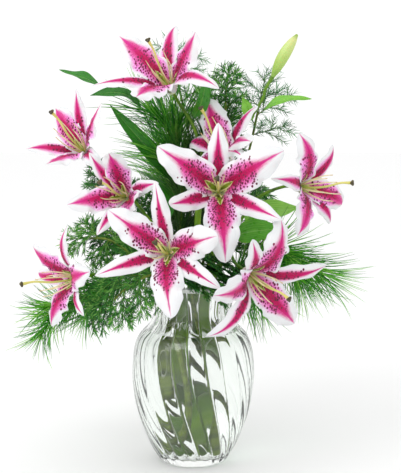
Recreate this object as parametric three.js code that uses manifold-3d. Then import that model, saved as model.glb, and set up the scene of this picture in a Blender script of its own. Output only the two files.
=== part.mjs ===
// Lilies in a glass vase: a round-bellied vase of water holding five forked lily stems with nine open
// blooms and one bud, with lily leaves, pine sprays, cedar sprigs and fern around them.
// Millimetres, +Z up, the origin at the middle of the vase's foot, the blooms' show side towards -Y.
import * as THREE from "three";
import { mergeVertices } from "three/addons/utils/BufferGeometryUtils.js";
import Module from "manifold-3d";

const wasm = await Module();
wasm.setup();

// ---- Driving dimensions ----
const clearance = 0.4; // left between pieces that touch

// Vase
const vaseHeight = 200;
const footRadius = 36;
const bellyRadius = 66.4;
const bellyHeight = 100;
const neckRadius = 41.7;
const mouthDepth = 34; // from the neck's narrowest place up to the rim
const rimRadius = 51;
const glassWall = 4;
const glassFloor = 10;
const vaseSides = 24;

const neckHeight = vaseHeight - mouthDepth;

// Water
const waterBelowNeck = 20;
const waterHeight = neckHeight - waterBelowNeck;

// Stems
const lilyStemRadius = 3.8;
const flowerStalkRadius = 1.9;
const greenStemRadius = 1.5;
const stemTwist = 60; // degrees that the stems turn about the vase's axis between foot and neck
const lilyRing = { foot: 12, neck: 18 }; // radius of the ring that the lily stems stand on
const greenGap = { foot: 9.5, neck: 5.2 }; // from the greens' stems to the foot's edge and to the neck's glass
const greenRing = {
  foot: footRadius - greenStemRadius - greenGap.foot,
  neck: neckRadius - glassWall - greenStemRadius - greenGap.neck,
};

// Blooms
const petalHalfWidth = 16.5; // on a bloom whose tepals have the full length; smaller blooms are narrower
const sepalHalfWidth = 9.5;
const fullTepal = 88;
const tepalThickness = 1.1;
const throatAngle = 18; // degrees from the bloom's axis at which each tepal starts
const whorlHeight = 2.4; // thickness of the disc that joins three tepals
const petalSeat = 3.4; // radius at which the petals start
const sepalSeat = 0.49 * petalHalfWidth; // the sepals start outside the petals' sides
const styleLength = 74;
const styleRadius = 1.1;
const stigmaRadius = 3.2;
const filamentLength = 46;
const filamentRadius = 0.7;

// Bud
const budLength = 47;
const budRadius = 6.5;

// Leaves and greens
const leafThickness = 1;
const needleRadius = 0.8;
const needleCount = 9;
const scaleThickness = 1.6;

// ---- The bouquet's plan ----
// All its heights are measured from the vase's rim.
// Each bloom: where it joins its stalk, the compass and rise of its axis (0 faces -Y, + turns to +X),
// the clock angle of its first petal, the tepals' length and the angle that they open to, and for each
// of the six tepals in turn its own [turn, extra curl, extra length].
const blooms = {
  crown: {
    at: [-22, 18, 204], compass: -30, rise: 45, clock: 157, length: 87, open: 99,
    tepals: [[-3, -10, 0], [4, 25, -3], [-9, -60, -9], [12, 40, 5], [0, -35, 0], [-3, -15, 4]],
  },
  upper_left: {
    at: [-113, 7, 135], compass: -39, rise: 39, clock: 152, length: 72, open: 92,
    tepals: [[-9, 15, -2], [8, -25, 0], [4, -35, 0], [0, 55, -10], [8, -40, -4], [-4, -5, -4]],
  },
  left: {
    at: [-69, -34, 95], compass: -20, rise: 15, clock: 81, length: 68, open: 73,
    tepals: [[6, -45, -2], [-3, 5, 0], [8, -50, 0], [-2, -15, 0], [-3, -5, 0], [-6, 0, -4]],
  },
  lower_left: {
    at: [-118, -13, 7], compass: -56, rise: -4, clock: 136, length: 71, open: 111,
    tepals: [[6, -10, -2], [3, 10, 3], [-2, 20, 0], [12, -10, -5], [-9, -10, -4], [-11, 15, 0]],
  },
  front: {
    at: [-24, -79, 42], compass: -10, rise: 14, clock: 147, length: 84, open: 101,
    tepals: [[-3, 0, 0], [7, -5, 0], [-12, -35, -4], [0, 5, 0], [11, 5, 0], [-3, 0, 3]],
  },
  middle: {
    at: [27, -48, 102], compass: -2, rise: 14, clock: 150, length: 92, open: 93,
    tepals: [[-3, 0, 0], [0, 10, -12], [-3, 5, 3], [-2, -10, 0], [11, 15, 4], [-2, -65, -6]],
  },
  behind: {
    at: [41, 5, 128], compass: -48, rise: 51, clock: 136, length: 83, open: 108,
    tepals: [[-4, -25, 0], [0, 0, -12], [-22, -15, -2], [22, -5, 2], [0, 20, -20], [-17, 50, -8]],
  },
  right: {
    at: [110, -2, 103], compass: 49, rise: 4, clock: 108, length: 72, open: 121,
    tepals: [[0, 5, 0], [-7, 5, -2], [-11, 15, 0], [17, 15, -6], [0, -10, 0], [-3, 20, 0]],
  },
  lower_right: {
    at: [54, -71, 23], compass: 36, rise: -18, clock: 65, length: 89, open: 113,
    tepals: [[7, 30, -4], [7, -5, 3], [5, 5, 0], [-13, 30, 5], [-4, -20, 0], [0, -30, 0]],
  },
};

const bud = { from: [86, 20, 220], to: [112, 20, 265] };

// Each lily stem: the compass angle of its place in the neck, the points that it passes above the
// neck, the last of them its fork, and what its two stalks carry.
const lilyStems = {
  crown: { angle: 90, through: [[4, 30, 50], [10, 33, 130]], carries: ["crown", "bud"] },
  left: { angle: 162, through: [[-30, 10, 25], [-46, 12, 62]], carries: ["upper_left", "left"] },
  front: { angle: 234, through: [[-16, -22, 10], [-24, -28, 26]], carries: ["lower_left", "front"] },
  middle: { angle: 306, through: [[19, -14, 25], [26, -10, 68]], carries: ["middle", "behind"] },
  right: { angle: 18, through: [[27, 6, 12], [38, 2, 36]], carries: ["right", "lower_right"] },
};

// Points that a flower stalk passes on its way from the fork.
const stalkBends = {
  crown: [[0, 34, 166]],
  bud: [[50, 26, 160], [76, 20, 198]],
  upper_left: [[-78, 26, 100]],
  left: [],
  lower_left: [[-58, -14, 33]],
  front: [],
  middle: [],
  behind: [],
  right: [[66, 12, 86]],
  lower_right: [],
};

// Each leaf: its base, its tip, how far it arches upward, its half width, and the side it faces.
const leaves = {
  leaf_upper_left: { from: [-26, 74, 104], to: [-92, 58, 188], arch: 6, halfWidth: 9.5, faces: [0.1, -1, 0.5] },
  leaf_far_left: { from: [-104, 50, 210], to: [-147, 44, 227], arch: 4, halfWidth: 8, faces: [0, -0.8, 1] },
  leaf_behind_crown: { from: [-58, 42, 184], to: [-112, 28, 200], arch: 13, halfWidth: 8, faces: [0, -0.7, 1] },
  leaf_crown: { from: [2, 22, 176], to: [16, 14, 220], arch: 4, halfWidth: 9, faces: [0.6, -1, 0.3] },
  leaf_bud_left: { from: [62, 34, 172], to: [54, 32, 198], arch: 4, halfWidth: 6, faces: [-0.3, -0.6, 1] },
  leaf_bud_right: { from: [78, 28, 184], to: [129, 22, 196], arch: 7, halfWidth: 6.5, faces: [0, -0.7, 1] },
  leaf_right: { from: [56, 26, 66], to: [117, 34, 76], arch: 8, halfWidth: 13, faces: [0, -1, 0.7] },
  leaf_lower_right: { from: [48, -12, 48], to: [94, -28, 62], arch: 9, halfWidth: 13, faces: [0.2, -1, 0.7] },
  leaf_lower_left: { from: [-42, 36, 26], to: [-96, 36, 32], arch: 9, halfWidth: 9, faces: [0, -1, 0.5] },
  leaf_back_left: { from: [-26, 40, 62], to: [-70, 112, 112], arch: 16, halfWidth: 14, faces: [-0.3, 0.6, 1] },
  leaf_back_right: { from: [14, 70, 62], to: [44, 128, 100], arch: 12, halfWidth: 12, faces: [0.3, 0.6, 1] },
  leaf_back_top: { from: [24, 78, 118], to: [40, 130, 168], arch: 12, halfWidth: 12, faces: [0, 1, 0.6] },
};

// Each green: its kind, the angle of its place in the neck, the points of its twig above the neck, and
// the spread of its needles or side twigs.
const greens = {
  pine_upper_left: {
    kind: "pine", angle: 130, through: [[-16, 44, 30], [-14, 58, 120], [-30, 64, 172]], reach: 82, spread: 38,
  },
  pine_top: {
    kind: "pine", angle: 82, through: [[6, 52, 40], [14, 66, 130], [20, 68, 172]], reach: 62, spread: 34,
  },
  pine_right: {
    kind: "pine", angle: 350, through: [[56, 10, 18], [90, 8, 34], [121, 6, 14]], reach: 74, spread: 32,
  },
  pine_left: {
    kind: "pine", angle: 198, through: [[-56, -6, 14], [-112, 12, -20], [-158, 16, -40]], reach: 52, spread: 44,
  },
  pine_back: {
    kind: "pine", angle: 100, through: [[-10, 56, 26], [-20, 92, 70], [-24, 112, 100]], reach: 80, spread: 36,
  },
  cedar_top: {
    kind: "cedar", angle: 58, through: [[28, 46, 40], [34, 62, 130], [36, 50, 192]], reach: 46, spread: 34,
  },
  cedar_left: {
    kind: "cedar", angle: 170, through: [[-56, 14, 16], [-92, 18, 42], [-112, 20, 44]], reach: 34, spread: 50,
  },
  cedar_lower_left: {
    kind: "cedar", angle: 222, through: [[-37, -33, 12], [-64, -42, 4], [-84, -38, -14]], reach: 40, spread: 40,
  },
  cedar_middle: {
    kind: "cedar", angle: 270, through: [[0, -38, 6], [8, -40, 22], [16, -38, 36]], reach: 36, spread: 46,
  },
  cedar_back: {
    kind: "cedar", angle: 34, through: [[34, 42, 22], [44, 80, 56], [48, 104, 84]], reach: 56, spread: 46,
  },
  cedar_back_left: {
    kind: "cedar", angle: 146, through: [[-46, 40, 20], [-74, 66, 50], [-88, 80, 76]], reach: 60, spread: 46,
  },
  fern_top: {
    kind: "fern", angle: 70, through: [[26, 56, 40], [60, 76, 126], [72, 64, 180]], reach: 54, spread: 40,
  },
  fern_wisp: {
    kind: "fern", angle: 114, through: [[-6, 50, 40], [-2, 84, 130], [-20, 84, 224]], reach: 44, spread: 52,
  },
};

const colours = {
  glass: 0xdfe8e2, water: 0xe6efe9, stem: 0x6f8f3a, petal: 0xd6337f, sepal: 0xf3d3e0, pistil: 0xb9c463,
  bud: 0xa9c07a, leaf: 0x2f7a2d, pine: 0x3f8a4a, cedar: 0x1f5f33, fern: 0x57a06a,
};

// ---- Solids ----
function asSolid(geometry) {
  const bare = geometry.clone();
  bare.deleteAttribute("normal");
  bare.deleteAttribute("uv");
  const merged = mergeVertices(bare, 1e-3);
  return new wasm.Manifold(
    new wasm.Mesh({
      numProp: 3,
      vertProperties: new Float32Array(merged.attributes.position.array),
      triVerts: new Uint32Array(merged.index.array),
    }),
  );
}

function asGeometry(solid) {
  const mesh = solid.getMesh();
  const geometry = new THREE.BufferGeometry();
  geometry.setAttribute("position", new THREE.BufferAttribute(mesh.vertProperties, 3));
  geometry.setIndex(new THREE.BufferAttribute(mesh.triVerts, 1));
  return geometry;
}

function joined(geometries) {
  return geometries.map(asSolid).reduce((whole, next) => whole.add(next));
}

function vector(list) {
  return new THREE.Vector3(...list);
}

// A point of the bouquet's plan, whose height is measured from the rim.
function planned([x, y, aboveRim]) {
  return new THREE.Vector3(x, y, vaseHeight + aboveRim);
}

function radians(degrees) {
  return THREE.MathUtils.degToRad(degrees);
}

// A round bar along a curve through the points.
function bar(points, radius, sides, steps) {
  const section = new THREE.Shape();
  for (let i = 0; i < sides; i += 1) {
    const angle = (2 * Math.PI * i) / sides;
    section[i ? "lineTo" : "moveTo"](radius * Math.cos(angle), radius * Math.sin(angle));
  }
  section.closePath();
  const path = new THREE.CatmullRomCurve3(points, false, "centripetal");
  return new THREE.ExtrudeGeometry(section, { extrudePath: path, steps, curveSegments: 1, bevelEnabled: false });
}

// A tapering spike from one point to another, its sharp end at `to`.
function spike(from, to, radius, sides) {
  const length = from.distanceTo(to);
  const cone = new THREE.ConeGeometry(radius, length, sides);
  const upright = new THREE.Vector3(0, 1, 0);
  const turn = new THREE.Quaternion().setFromUnitVectors(upright, to.clone().sub(from).normalize());
  return cone.translate(0, length / 2, 0).applyQuaternion(turn).translate(from.x, from.y, from.z);
}

// A thin closed blade. `place(t)` gives its middle line's point, its across direction and its upper
// side's direction at the share t of its length, `halfWidth(t)` its width, `fold` how far its edges lift.
function blade(place, halfWidth, thickness, fold, steps) {
  const slab = new THREE.BoxGeometry(1, 2, 1, steps, 2, 1);
  const corners = slab.attributes.position;
  for (let i = 0; i < corners.count; i += 1) {
    const share = corners.getX(i) + 0.5;
    const across = corners.getY(i);
    const { point, side, up } = place(share);
    const half = halfWidth(share);
    const lift = corners.getZ(i) * thickness + Math.abs(across) * half * fold;
    point.addScaledVector(side, across * half).addScaledVector(up, lift);
    corners.setXYZ(i, point.x, point.y, point.z);
  }
  return slab;
}

// ---- Vase and water ----
function vaseOutline() {
  const foot = new THREE.CubicBezierCurve(
    new THREE.Vector2(footRadius, 0),
    new THREE.Vector2(footRadius + (bellyRadius - footRadius) * 0.82, bellyHeight * 0.39),
    new THREE.Vector2(bellyRadius, bellyHeight * 0.76),
    new THREE.Vector2(bellyRadius, bellyHeight),
  );
  const rise = neckHeight - bellyHeight;
  const shoulder = new THREE.CubicBezierCurve(
    new THREE.Vector2(bellyRadius, bellyHeight),
    new THREE.Vector2(bellyRadius, bellyHeight + rise * 0.82),
    new THREE.Vector2(neckRadius + (bellyRadius - neckRadius) * 0.28, bellyHeight + rise * 0.59),
    new THREE.Vector2(neckRadius, neckHeight),
  );
  const mouth = new THREE.CubicBezierCurve(
    new THREE.Vector2(neckRadius, neckHeight),
    new THREE.Vector2(neckRadius, neckHeight + (vaseHeight - neckHeight) * 0.42),
    new THREE.Vector2(neckRadius + (rimRadius - neckRadius) * 0.45, vaseHeight - (vaseHeight - neckHeight) * 0.24),
    new THREE.Vector2(rimRadius, vaseHeight),
  );
  return [...foot.getPoints(5), ...shoulder.getPoints(5).slice(1), ...mouth.getPoints(3).slice(1)];
}

// The vase's outer radius at a height.
function outerRadius(height) {
  const outline = vaseOutline();
  const next = Math.max(1, outline.findIndex((point) => point.y >= height));
  const [low, high] = [outline[next - 1], outline[next]];
  return low.x + ((high.x - low.x) * (height - low.y)) / (high.y - low.y);
}

// The wall's inner line from one height to another, from below upward, `gap` in from the glass.
function innerLine(fromHeight, toHeight, gap) {
  const heights = vaseOutline().map((point) => point.y);
  const between = heights.filter((height) => height > fromHeight + 1 && height < toHeight - 1);
  return [fromHeight, ...between, toHeight].map(
    (height) => new THREE.Vector2(outerRadius(height) - glassWall - gap, height),
  );
}

function turned(profile) {
  return new THREE.LatheGeometry(profile, vaseSides).rotateX(Math.PI / 2);
}

function vaseSolid() {
  const inside = innerLine(glassFloor, vaseHeight, 0).reverse();
  const profile = [
    new THREE.Vector2(0, 0),
    ...vaseOutline(),
    ...inside,
    new THREE.Vector2(0, glassFloor),
  ];
  return asSolid(turned(profile));
}

// The water fills the vase to its level, round every stem that stands in it.
function waterSolid(standing) {
  const bottom = glassFloor + clearance;
  const profile = [
    new THREE.Vector2(0, bottom),
    ...innerLine(bottom, waterHeight, clearance),
    new THREE.Vector2(0, waterHeight),
  ];
  const body = asSolid(turned(profile));
  return standing.reduce((water, { points, radius, sides, steps }) => {
    const way = points[1].clone().sub(points[0]).normalize();
    const heel = points[0].clone().addScaledVector(way, -clearance);
    return water.subtract(asSolid(bar([heel, ...points.slice(1)], radius + 2 * clearance, sides, steps)));
  }, body);
}

// ---- Stems ----
// The straight part of a stem, from the vase's floor to the neck, leaning round the vase's axis.
function standingPoints(ring, angle, radius) {
  const footHeight = glassFloor + 2 + radius;
  const at = (size, degrees, height) =>
    new THREE.Vector3(size * Math.cos(radians(degrees)), size * Math.sin(radians(degrees)), height);
  const low = at(ring.foot, angle + stemTwist, footHeight);
  const high = at(ring.neck, angle, neckHeight + 16);
  return [low, low.clone().lerp(high, 0.5), high];
}

function bloomFrame({ compass, rise }) {
  const [turn, lift] = [radians(compass), radians(rise)];
  const axis = new THREE.Vector3(
    Math.sin(turn) * Math.cos(lift),
    -Math.cos(turn) * Math.cos(lift),
    Math.sin(lift),
  );
  const up = new THREE.Vector3(0, 0, 1).addScaledVector(axis, -axis.z).normalize();
  return { axis, up, right: up.clone().cross(axis) };
}

// Where a stalk ends, and the way it points there.
function stalkEnd(carried) {
  if (carried === "bud") {
    const axis = planned(bud.to).sub(planned(bud.from)).normalize();
    return { end: planned(bud.from), axis };
  }
  return { end: planned(blooms[carried].at), axis: bloomFrame(blooms[carried]).axis };
}

// The path of a whole stem with its section, for the stem itself and for the hole it leaves in the water.
function lilyStemBar({ angle, through }) {
  const points = [...standingPoints(lilyRing, angle, lilyStemRadius), ...through.map(planned)];
  const [before, fork] = points.slice(-2);
  points[points.length - 1] = fork.clone().addScaledVector(fork.clone().sub(before).normalize(), 3);
  return { points, radius: lilyStemRadius, sides: 8, steps: 10 };
}

function greenStemBar({ angle, through }) {
  const points = [...standingPoints(greenRing, angle, greenStemRadius), ...through.map(planned)];
  return { points, radius: greenStemRadius, sides: 5, steps: 8 };
}

function barOf({ points, radius, sides, steps }) {
  return bar(points, radius, sides, steps);
}

function stalk(fork, carried) {
  const { end, axis } = stalkEnd(carried);
  const points = [
    fork,
    ...stalkBends[carried].map(planned),
    end.clone().addScaledVector(axis, -16),
    end.clone().addScaledVector(axis, -clearance),
  ];
  return bar(points, flowerStalkRadius, 5, 4 + 3 * stalkBends[carried].length);
}

function lilyStemSolid(stem) {
  const fork = planned(stem.through[stem.through.length - 1]);
  return joined([barOf(lilyStemBar(stem)), ...stem.carries.map((carried) => stalk(fork, carried))]);
}

// ---- Blooms ----
// A tepal's middle line leaves the seat at the throat angle and bends outward, then curls at its tip.
function tepalPlace(bloom, index, seat, start) {
  const [turn, curl, extra] = bloom.tepals[index];
  const { axis, up, right } = bloomFrame(bloom);
  const clock = radians(bloom.clock - 60 * index + turn);
  const out = right.clone().multiplyScalar(Math.cos(clock)).addScaledVector(up, Math.sin(clock));
  const side = axis.clone().cross(out);
  const base = planned(bloom.at).addScaledVector(axis, start).addScaledVector(out, seat);
  const length = bloom.length + extra;
  const lean = (t) => radians(throatAngle + (bloom.open - throatAngle) * t + curl * t * t);
  return (share) => {
    const parts = 24;
    const point = base.clone();
    for (let i = 0; i < parts; i += 1) {
      const angle = lean((share * (i + 0.5)) / parts);
      point.addScaledVector(out, (Math.sin(angle) * length * share) / parts);
      point.addScaledVector(axis, (Math.cos(angle) * length * share) / parts);
    }
    const here = lean(share);
    const face = axis.clone().multiplyScalar(Math.sin(here)).addScaledVector(out, -Math.cos(here));
    return { point, side, up: face };
  };
}

function tepalWidth({ length }, widest) {
  const scale = (widest * length) / fullTepal;
  return (t) => Math.max(0.5, scale * (0.3 * (1 - t) ** 3 + Math.sin(Math.PI * t ** 1.1) ** 0.85));
}

function disc(bloom, radius, start) {
  const { axis } = bloomFrame(bloom);
  const from = planned(bloom.at).addScaledVector(axis, start);
  const turn = new THREE.Quaternion().setFromUnitVectors(new THREE.Vector3(0, 1, 0), axis);
  return new THREE.CylinderGeometry(radius, radius, whorlHeight, 6)
    .translate(0, whorlHeight / 2, 0)
    .applyQuaternion(turn)
    .translate(from.x, from.y, from.z);
}

// Three tepals of a bloom, joined at their base: the first, third and fifth are its petals.
function whorlSolid(bloom, first, seat, widest, start) {
  const tepals = [first, first + 2, first + 4].map((index) =>
    blade(tepalPlace(bloom, index, seat, start + 0.6), tepalWidth(bloom, widest), tepalThickness, 0.16, 4),
  );
  return joined([disc(bloom, seat + 0.7, start), ...tepals]);
}

function pistilSolid(bloom) {
  const { axis, up, right } = bloomFrame(bloom);
  const start = 2 * (whorlHeight + clearance);
  const from = planned(bloom.at).addScaledVector(axis, start);
  const tip = from.clone().addScaledVector(axis, styleLength - start).addScaledVector(up, 4);
  const middle = from.clone().lerp(tip, 0.5).addScaledVector(up, -2);
  const stigma = new THREE.SphereGeometry(stigmaRadius, 6, 3).translate(tip.x, tip.y, tip.z);
  const filaments = [0, 1, 2, 3, 4, 5].map((index) => {
    const clock = radians(bloom.clock + 30 - 60 * index);
    const out = right.clone().multiplyScalar(Math.cos(clock)).addScaledVector(up, Math.sin(clock));
    const foot = from.clone().addScaledVector(axis, 1.2);
    const end = foot.clone().addScaledVector(axis, filamentLength).addScaledVector(out, filamentLength * 0.26);
    return spike(foot, end, filamentRadius, 3);
  });
  return joined([bar([from, middle, tip], styleRadius, 5, 3), stigma, ...filaments]);
}

function budSolid() {
  const [from, to] = [planned(bud.from), planned(bud.to)];
  const axis = to.clone().sub(from).normalize();
  const turn = new THREE.Quaternion().setFromUnitVectors(new THREE.Vector3(0, 1, 0), axis);
  const profile = new THREE.SplineCurve([
    new THREE.Vector2(2, 0),
    new THREE.Vector2(budRadius * 0.8, budLength * 0.2),
    new THREE.Vector2(budRadius, budLength * 0.5),
    new THREE.Vector2(budRadius * 0.75, budLength * 0.8),
    new THREE.Vector2(1, budLength),
  ]).getPoints(8);
  const closed = [new THREE.Vector2(0, 0), ...profile, new THREE.Vector2(0, budLength)];
  const lathe = new THREE.LatheGeometry(closed, 10);
  return asSolid(lathe.applyQuaternion(turn).translate(from.x, from.y, from.z));
}

// ---- Leaves and greens ----
function leafSolid({ from, to, arch, halfWidth, faces }) {
  const [start, end] = [planned(from), planned(to)];
  const along = end.clone().sub(start).normalize();
  const up = vector(faces).addScaledVector(along, -vector(faces).dot(along)).normalize();
  const side = up.clone().cross(along);
  const place = (share) => ({
    point: start.clone().lerp(end, share).addScaledVector(up, arch * Math.sin(Math.PI * share)),
    side,
    up,
  });
  const width = (t) => Math.max(0.5, halfWidth * Math.sin(Math.PI * (0.06 + 0.94 * t ** 0.8)) ** 0.8);
  return asSolid(blade(place, width, leafThickness, 0.22, 7));
}

// The end of a green's twig and the way it grows there.
function twigEnd({ through }) {
  const [before, tip] = through.slice(-2).map(planned);
  const along = tip.clone().sub(before).normalize();
  const flat = Math.abs(along.y) > 0.8 ? new THREE.Vector3(1, 0, 0) : new THREE.Vector3(0, 1, 0);
  const across = along.clone().cross(flat).normalize();
  return { tip, along, across };
}

// A point in the middle of a green's twig, at a share of its length.
function insideTwig(green, share) {
  const { points, steps } = greenStemBar(green);
  const path = new THREE.CatmullRomCurve3(points, false, "centripetal");
  const ring = Math.min(steps - 1, Math.floor(share * steps));
  return path.getPointAt(ring / steps).lerp(path.getPointAt((ring + 1) / steps), share * steps - ring);
}

// Pine: long needles in a cone round the twig's end.
function pineNeedles(green) {
  const { tip, along, across } = twigEnd(green);
  const needles = [];
  for (let i = 0; i < needleCount; i += 1) {
    const round = i * 2.4;
    const lean = radians(green.spread) * Math.sqrt((i + 0.5) / needleCount);
    const out = across.clone().applyAxisAngle(along, round);
    const way = along.clone().multiplyScalar(Math.cos(lean)).addScaledVector(out, Math.sin(lean));
    const start = tip.clone().addScaledVector(along, -1 - (i % 4) * 1.5);
    needles.push(spike(start, start.clone().addScaledVector(way, green.reach), needleRadius, 3));
  }
  return needles;
}

// Cedar and fern: side twigs to the left and right of the last stretch, in one flat fan.
function sideTwigs(green, count, radius) {
  const { tip, along, across } = twigEnd(green);
  const twigs = [spike(tip.clone().addScaledVector(along, -2), tip.clone().addScaledVector(along, green.reach),
    radius, 4)];
  for (let i = 0; i < count; i += 1) {
    const start = insideTwig(green, 0.82 + (0.16 * i) / count);
    const lean = radians(i % 2 ? green.spread : -green.spread);
    const out = across.clone().multiplyScalar(Math.sin(lean));
    const way = along.clone().multiplyScalar(Math.cos(lean)).add(out);
    twigs.push(spike(start, start.clone().addScaledVector(way, green.reach * (0.95 - 0.05 * i)), radius, 3));
  }
  return twigs;
}

function greenSolid(green) {
  const foliage = {
    pine: () => pineNeedles(green),
    cedar: () => sideTwigs(green, 6, scaleThickness),
    fern: () => sideTwigs(green, 8, scaleThickness * 0.7),
  }[green.kind]();
  return joined([barOf(greenStemBar(green)), ...foliage]);
}

// ---- The object ----
const vaseOfLilies = new THREE.Group();

function addPiece(name, solid, colour, roughness, extra = {}) {
  const material = new THREE.MeshStandardMaterial({ color: colour, roughness, metalness: 0, ...extra });
  const mesh = new THREE.Mesh(asGeometry(solid), material);
  mesh.name = name;
  vaseOfLilies.add(mesh);
}

const standing = [
  ...Object.values(lilyStems).map(lilyStemBar),
  ...Object.values(greens).map(greenStemBar),
];

addPiece("vase", vaseSolid(), colours.glass, 0.05, { transparent: true, opacity: 0.35 });
addPiece("water", waterSolid(standing), colours.water, 0.02, { transparent: true, opacity: 0.3 });

for (const [name, stem] of Object.entries(lilyStems)) {
  addPiece(`lily_stem_${name}`, lilyStemSolid(stem), colours.stem, 0.5);
}

for (const [name, bloom] of Object.entries(blooms)) {
  const petalStart = whorlHeight + clearance;
  addPiece(`petals_${name}`, whorlSolid(bloom, 0, petalSeat, petalHalfWidth, petalStart), colours.petal, 0.45);
  addPiece(`sepals_${name}`, whorlSolid(bloom, 1, sepalSeat, sepalHalfWidth, 0), colours.sepal, 0.45);
  addPiece(`pistil_${name}`, pistilSolid(bloom), colours.pistil, 0.4);
}

addPiece("bud", budSolid(), colours.bud, 0.5);

for (const [name, leaf] of Object.entries(leaves)) {
  addPiece(name, leafSolid(leaf), colours.leaf, 0.45);
}

for (const [name, green] of Object.entries(greens)) {
  addPiece(name, greenSolid(green), colours[green.kind], 0.6);
}

export default vaseOfLilies;
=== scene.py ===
import bpy
import math
import numpy as np
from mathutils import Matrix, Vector


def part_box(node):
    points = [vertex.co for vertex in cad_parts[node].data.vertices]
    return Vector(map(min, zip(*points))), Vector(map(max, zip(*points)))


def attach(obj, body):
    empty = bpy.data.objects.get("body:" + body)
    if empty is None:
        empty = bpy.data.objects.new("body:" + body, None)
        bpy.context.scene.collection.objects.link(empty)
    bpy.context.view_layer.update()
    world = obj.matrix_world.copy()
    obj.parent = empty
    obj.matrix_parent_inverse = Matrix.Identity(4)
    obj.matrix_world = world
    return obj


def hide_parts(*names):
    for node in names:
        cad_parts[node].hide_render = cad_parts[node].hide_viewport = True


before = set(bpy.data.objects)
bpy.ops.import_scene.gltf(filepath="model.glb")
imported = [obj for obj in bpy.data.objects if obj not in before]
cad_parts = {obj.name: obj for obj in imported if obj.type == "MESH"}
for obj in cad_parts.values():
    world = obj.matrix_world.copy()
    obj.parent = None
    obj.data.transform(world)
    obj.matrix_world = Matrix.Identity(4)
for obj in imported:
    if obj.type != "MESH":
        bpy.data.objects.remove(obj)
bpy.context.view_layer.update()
mm = 0.001
fullTurn = 2 * math.pi


def srgb(red, green, blue):
    # 0 to 255 display values as the linear colour that the shaders take
    def linear(value):
        value = value / 255
        return value / 12.92 if value <= 0.04045 else ((value + 0.055) / 1.055) ** 2.4
    return (linear(red), linear(green), linear(blue), 1.0)


def unit(vector):
    vector = np.asarray(vector, float)
    return vector / max(np.linalg.norm(vector), 1e-12)


def squareTo(way, vector):
    # the part of a vector that is square to a way, as a unit vector
    return unit(vector - way * np.dot(vector, way))


def nodeVertices(name):
    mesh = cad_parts[name].data
    places = np.zeros(len(mesh.vertices) * 3)
    mesh.vertices.foreach_get("co", places)
    return places.reshape(-1, 3)


def ease(low, high, value):
    # 0 below low, 1 above high, smooth between
    share = np.clip((value - low) / (high - low), 0, 1)
    return share * share * (3 - 2 * share)


def centripetal(points, steps):
    # a smooth line through the points, the same kind that the stems were laid out with
    points = [np.asarray(point, float) for point in points]
    ends = [2 * points[0] - points[1]] + points + [2 * points[-1] - points[-2]]
    line = []
    for a, b, c, d in zip(ends, ends[1:], ends[2:], ends[3:]):
        gaps = [max(np.linalg.norm(q - p) ** 0.5, 1e-6) for p, q in ((a, b), (b, c), (c, d))]
        leave = ((b - a) / gaps[0] - (c - a) / (gaps[0] + gaps[1]) + (c - b) / gaps[1]) * gaps[1]
        arrive = ((c - b) / gaps[1] - (d - b) / (gaps[1] + gaps[2]) + (d - c) / gaps[2]) * gaps[1]
        for t in np.linspace(0, 1, steps, endpoint=False):
            line.append(
                (2 * t**3 - 3 * t**2 + 1) * b + (t**3 - 2 * t**2 + t) * leave
                + (3 * t**2 - 2 * t**3) * c + (t**3 - t**2) * arrive
            )
    line.append(points[-1])
    return np.array(line)


def lengthsAlong(line):
    return np.concatenate([[0], np.cumsum(np.linalg.norm(np.diff(line, axis=0), axis=1))])


def fillLayers(mesh, domain, layers):
    for label, values in layers.items():
        layer = mesh.attributes.new(label, "FLOAT", domain)
        layer.data.foreach_set("value", np.asarray(values, np.float32))


def linkPiece(name, mesh):
    piece = bpy.data.objects.new(name, mesh)
    bpy.context.scene.collection.objects.link(piece)
    return piece


def newPiece(name, vertices, faces, materials, uv=None, layers=None, crease=60):
    # layers hold the values of each point and of each face, by domain and name
    mesh = bpy.data.meshes.new(name)
    mesh.from_pydata([tuple(v) for v in vertices], [], [tuple(f) for f in faces])
    if uv is not None:
        layer = mesh.uv_layers.new(name="skinMap")
        loops = np.array([loop.vertex_index for loop in mesh.loops])
        layer.data.foreach_set("uv", np.asarray(uv, np.float32)[loops].ravel())
    for domain, values in (layers or {}).items():
        fillLayers(mesh, domain, values)
    for material in materials:
        mesh.materials.append(material)
    mesh.shade_smooth()
    mesh.set_sharp_from_angle(angle=math.radians(crease))
    mesh.update()
    return linkPiece(name, mesh)


def pieceFrom(name, parts, materials, crease=60):
    # parts are dictionaries of vertices, faces, uv, material and layers; one piece comes out
    faces, start, slots = [], 0, []
    layers = {"POINT": {}, "FACE": {}}
    for part in parts:
        faces += [tuple(index + start for index in face) for face in part["faces"]]
        slots += [part.get("material", 0)] * len(part["faces"])
        start += len(part["vertices"])
        for domain, named in layers.items():
            for label, values in part.get(domain, {}).items():
                named.setdefault(label, []).append(values)
    joined = {
        domain: {label: np.concatenate(values) for label, values in named.items()}
        for domain, named in layers.items()
    }
    vertices = np.concatenate([part["vertices"] for part in parts])
    uv = np.concatenate([part["uv"] for part in parts])
    piece = newPiece(name, vertices, faces, materials, uv, joined, crease)
    piece.data.polygons.foreach_set("material_index", slots)
    return piece


def finishPiece(piece, slot, *nodes):
    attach(piece, "root")
    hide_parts(*nodes)
    return piece


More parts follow.
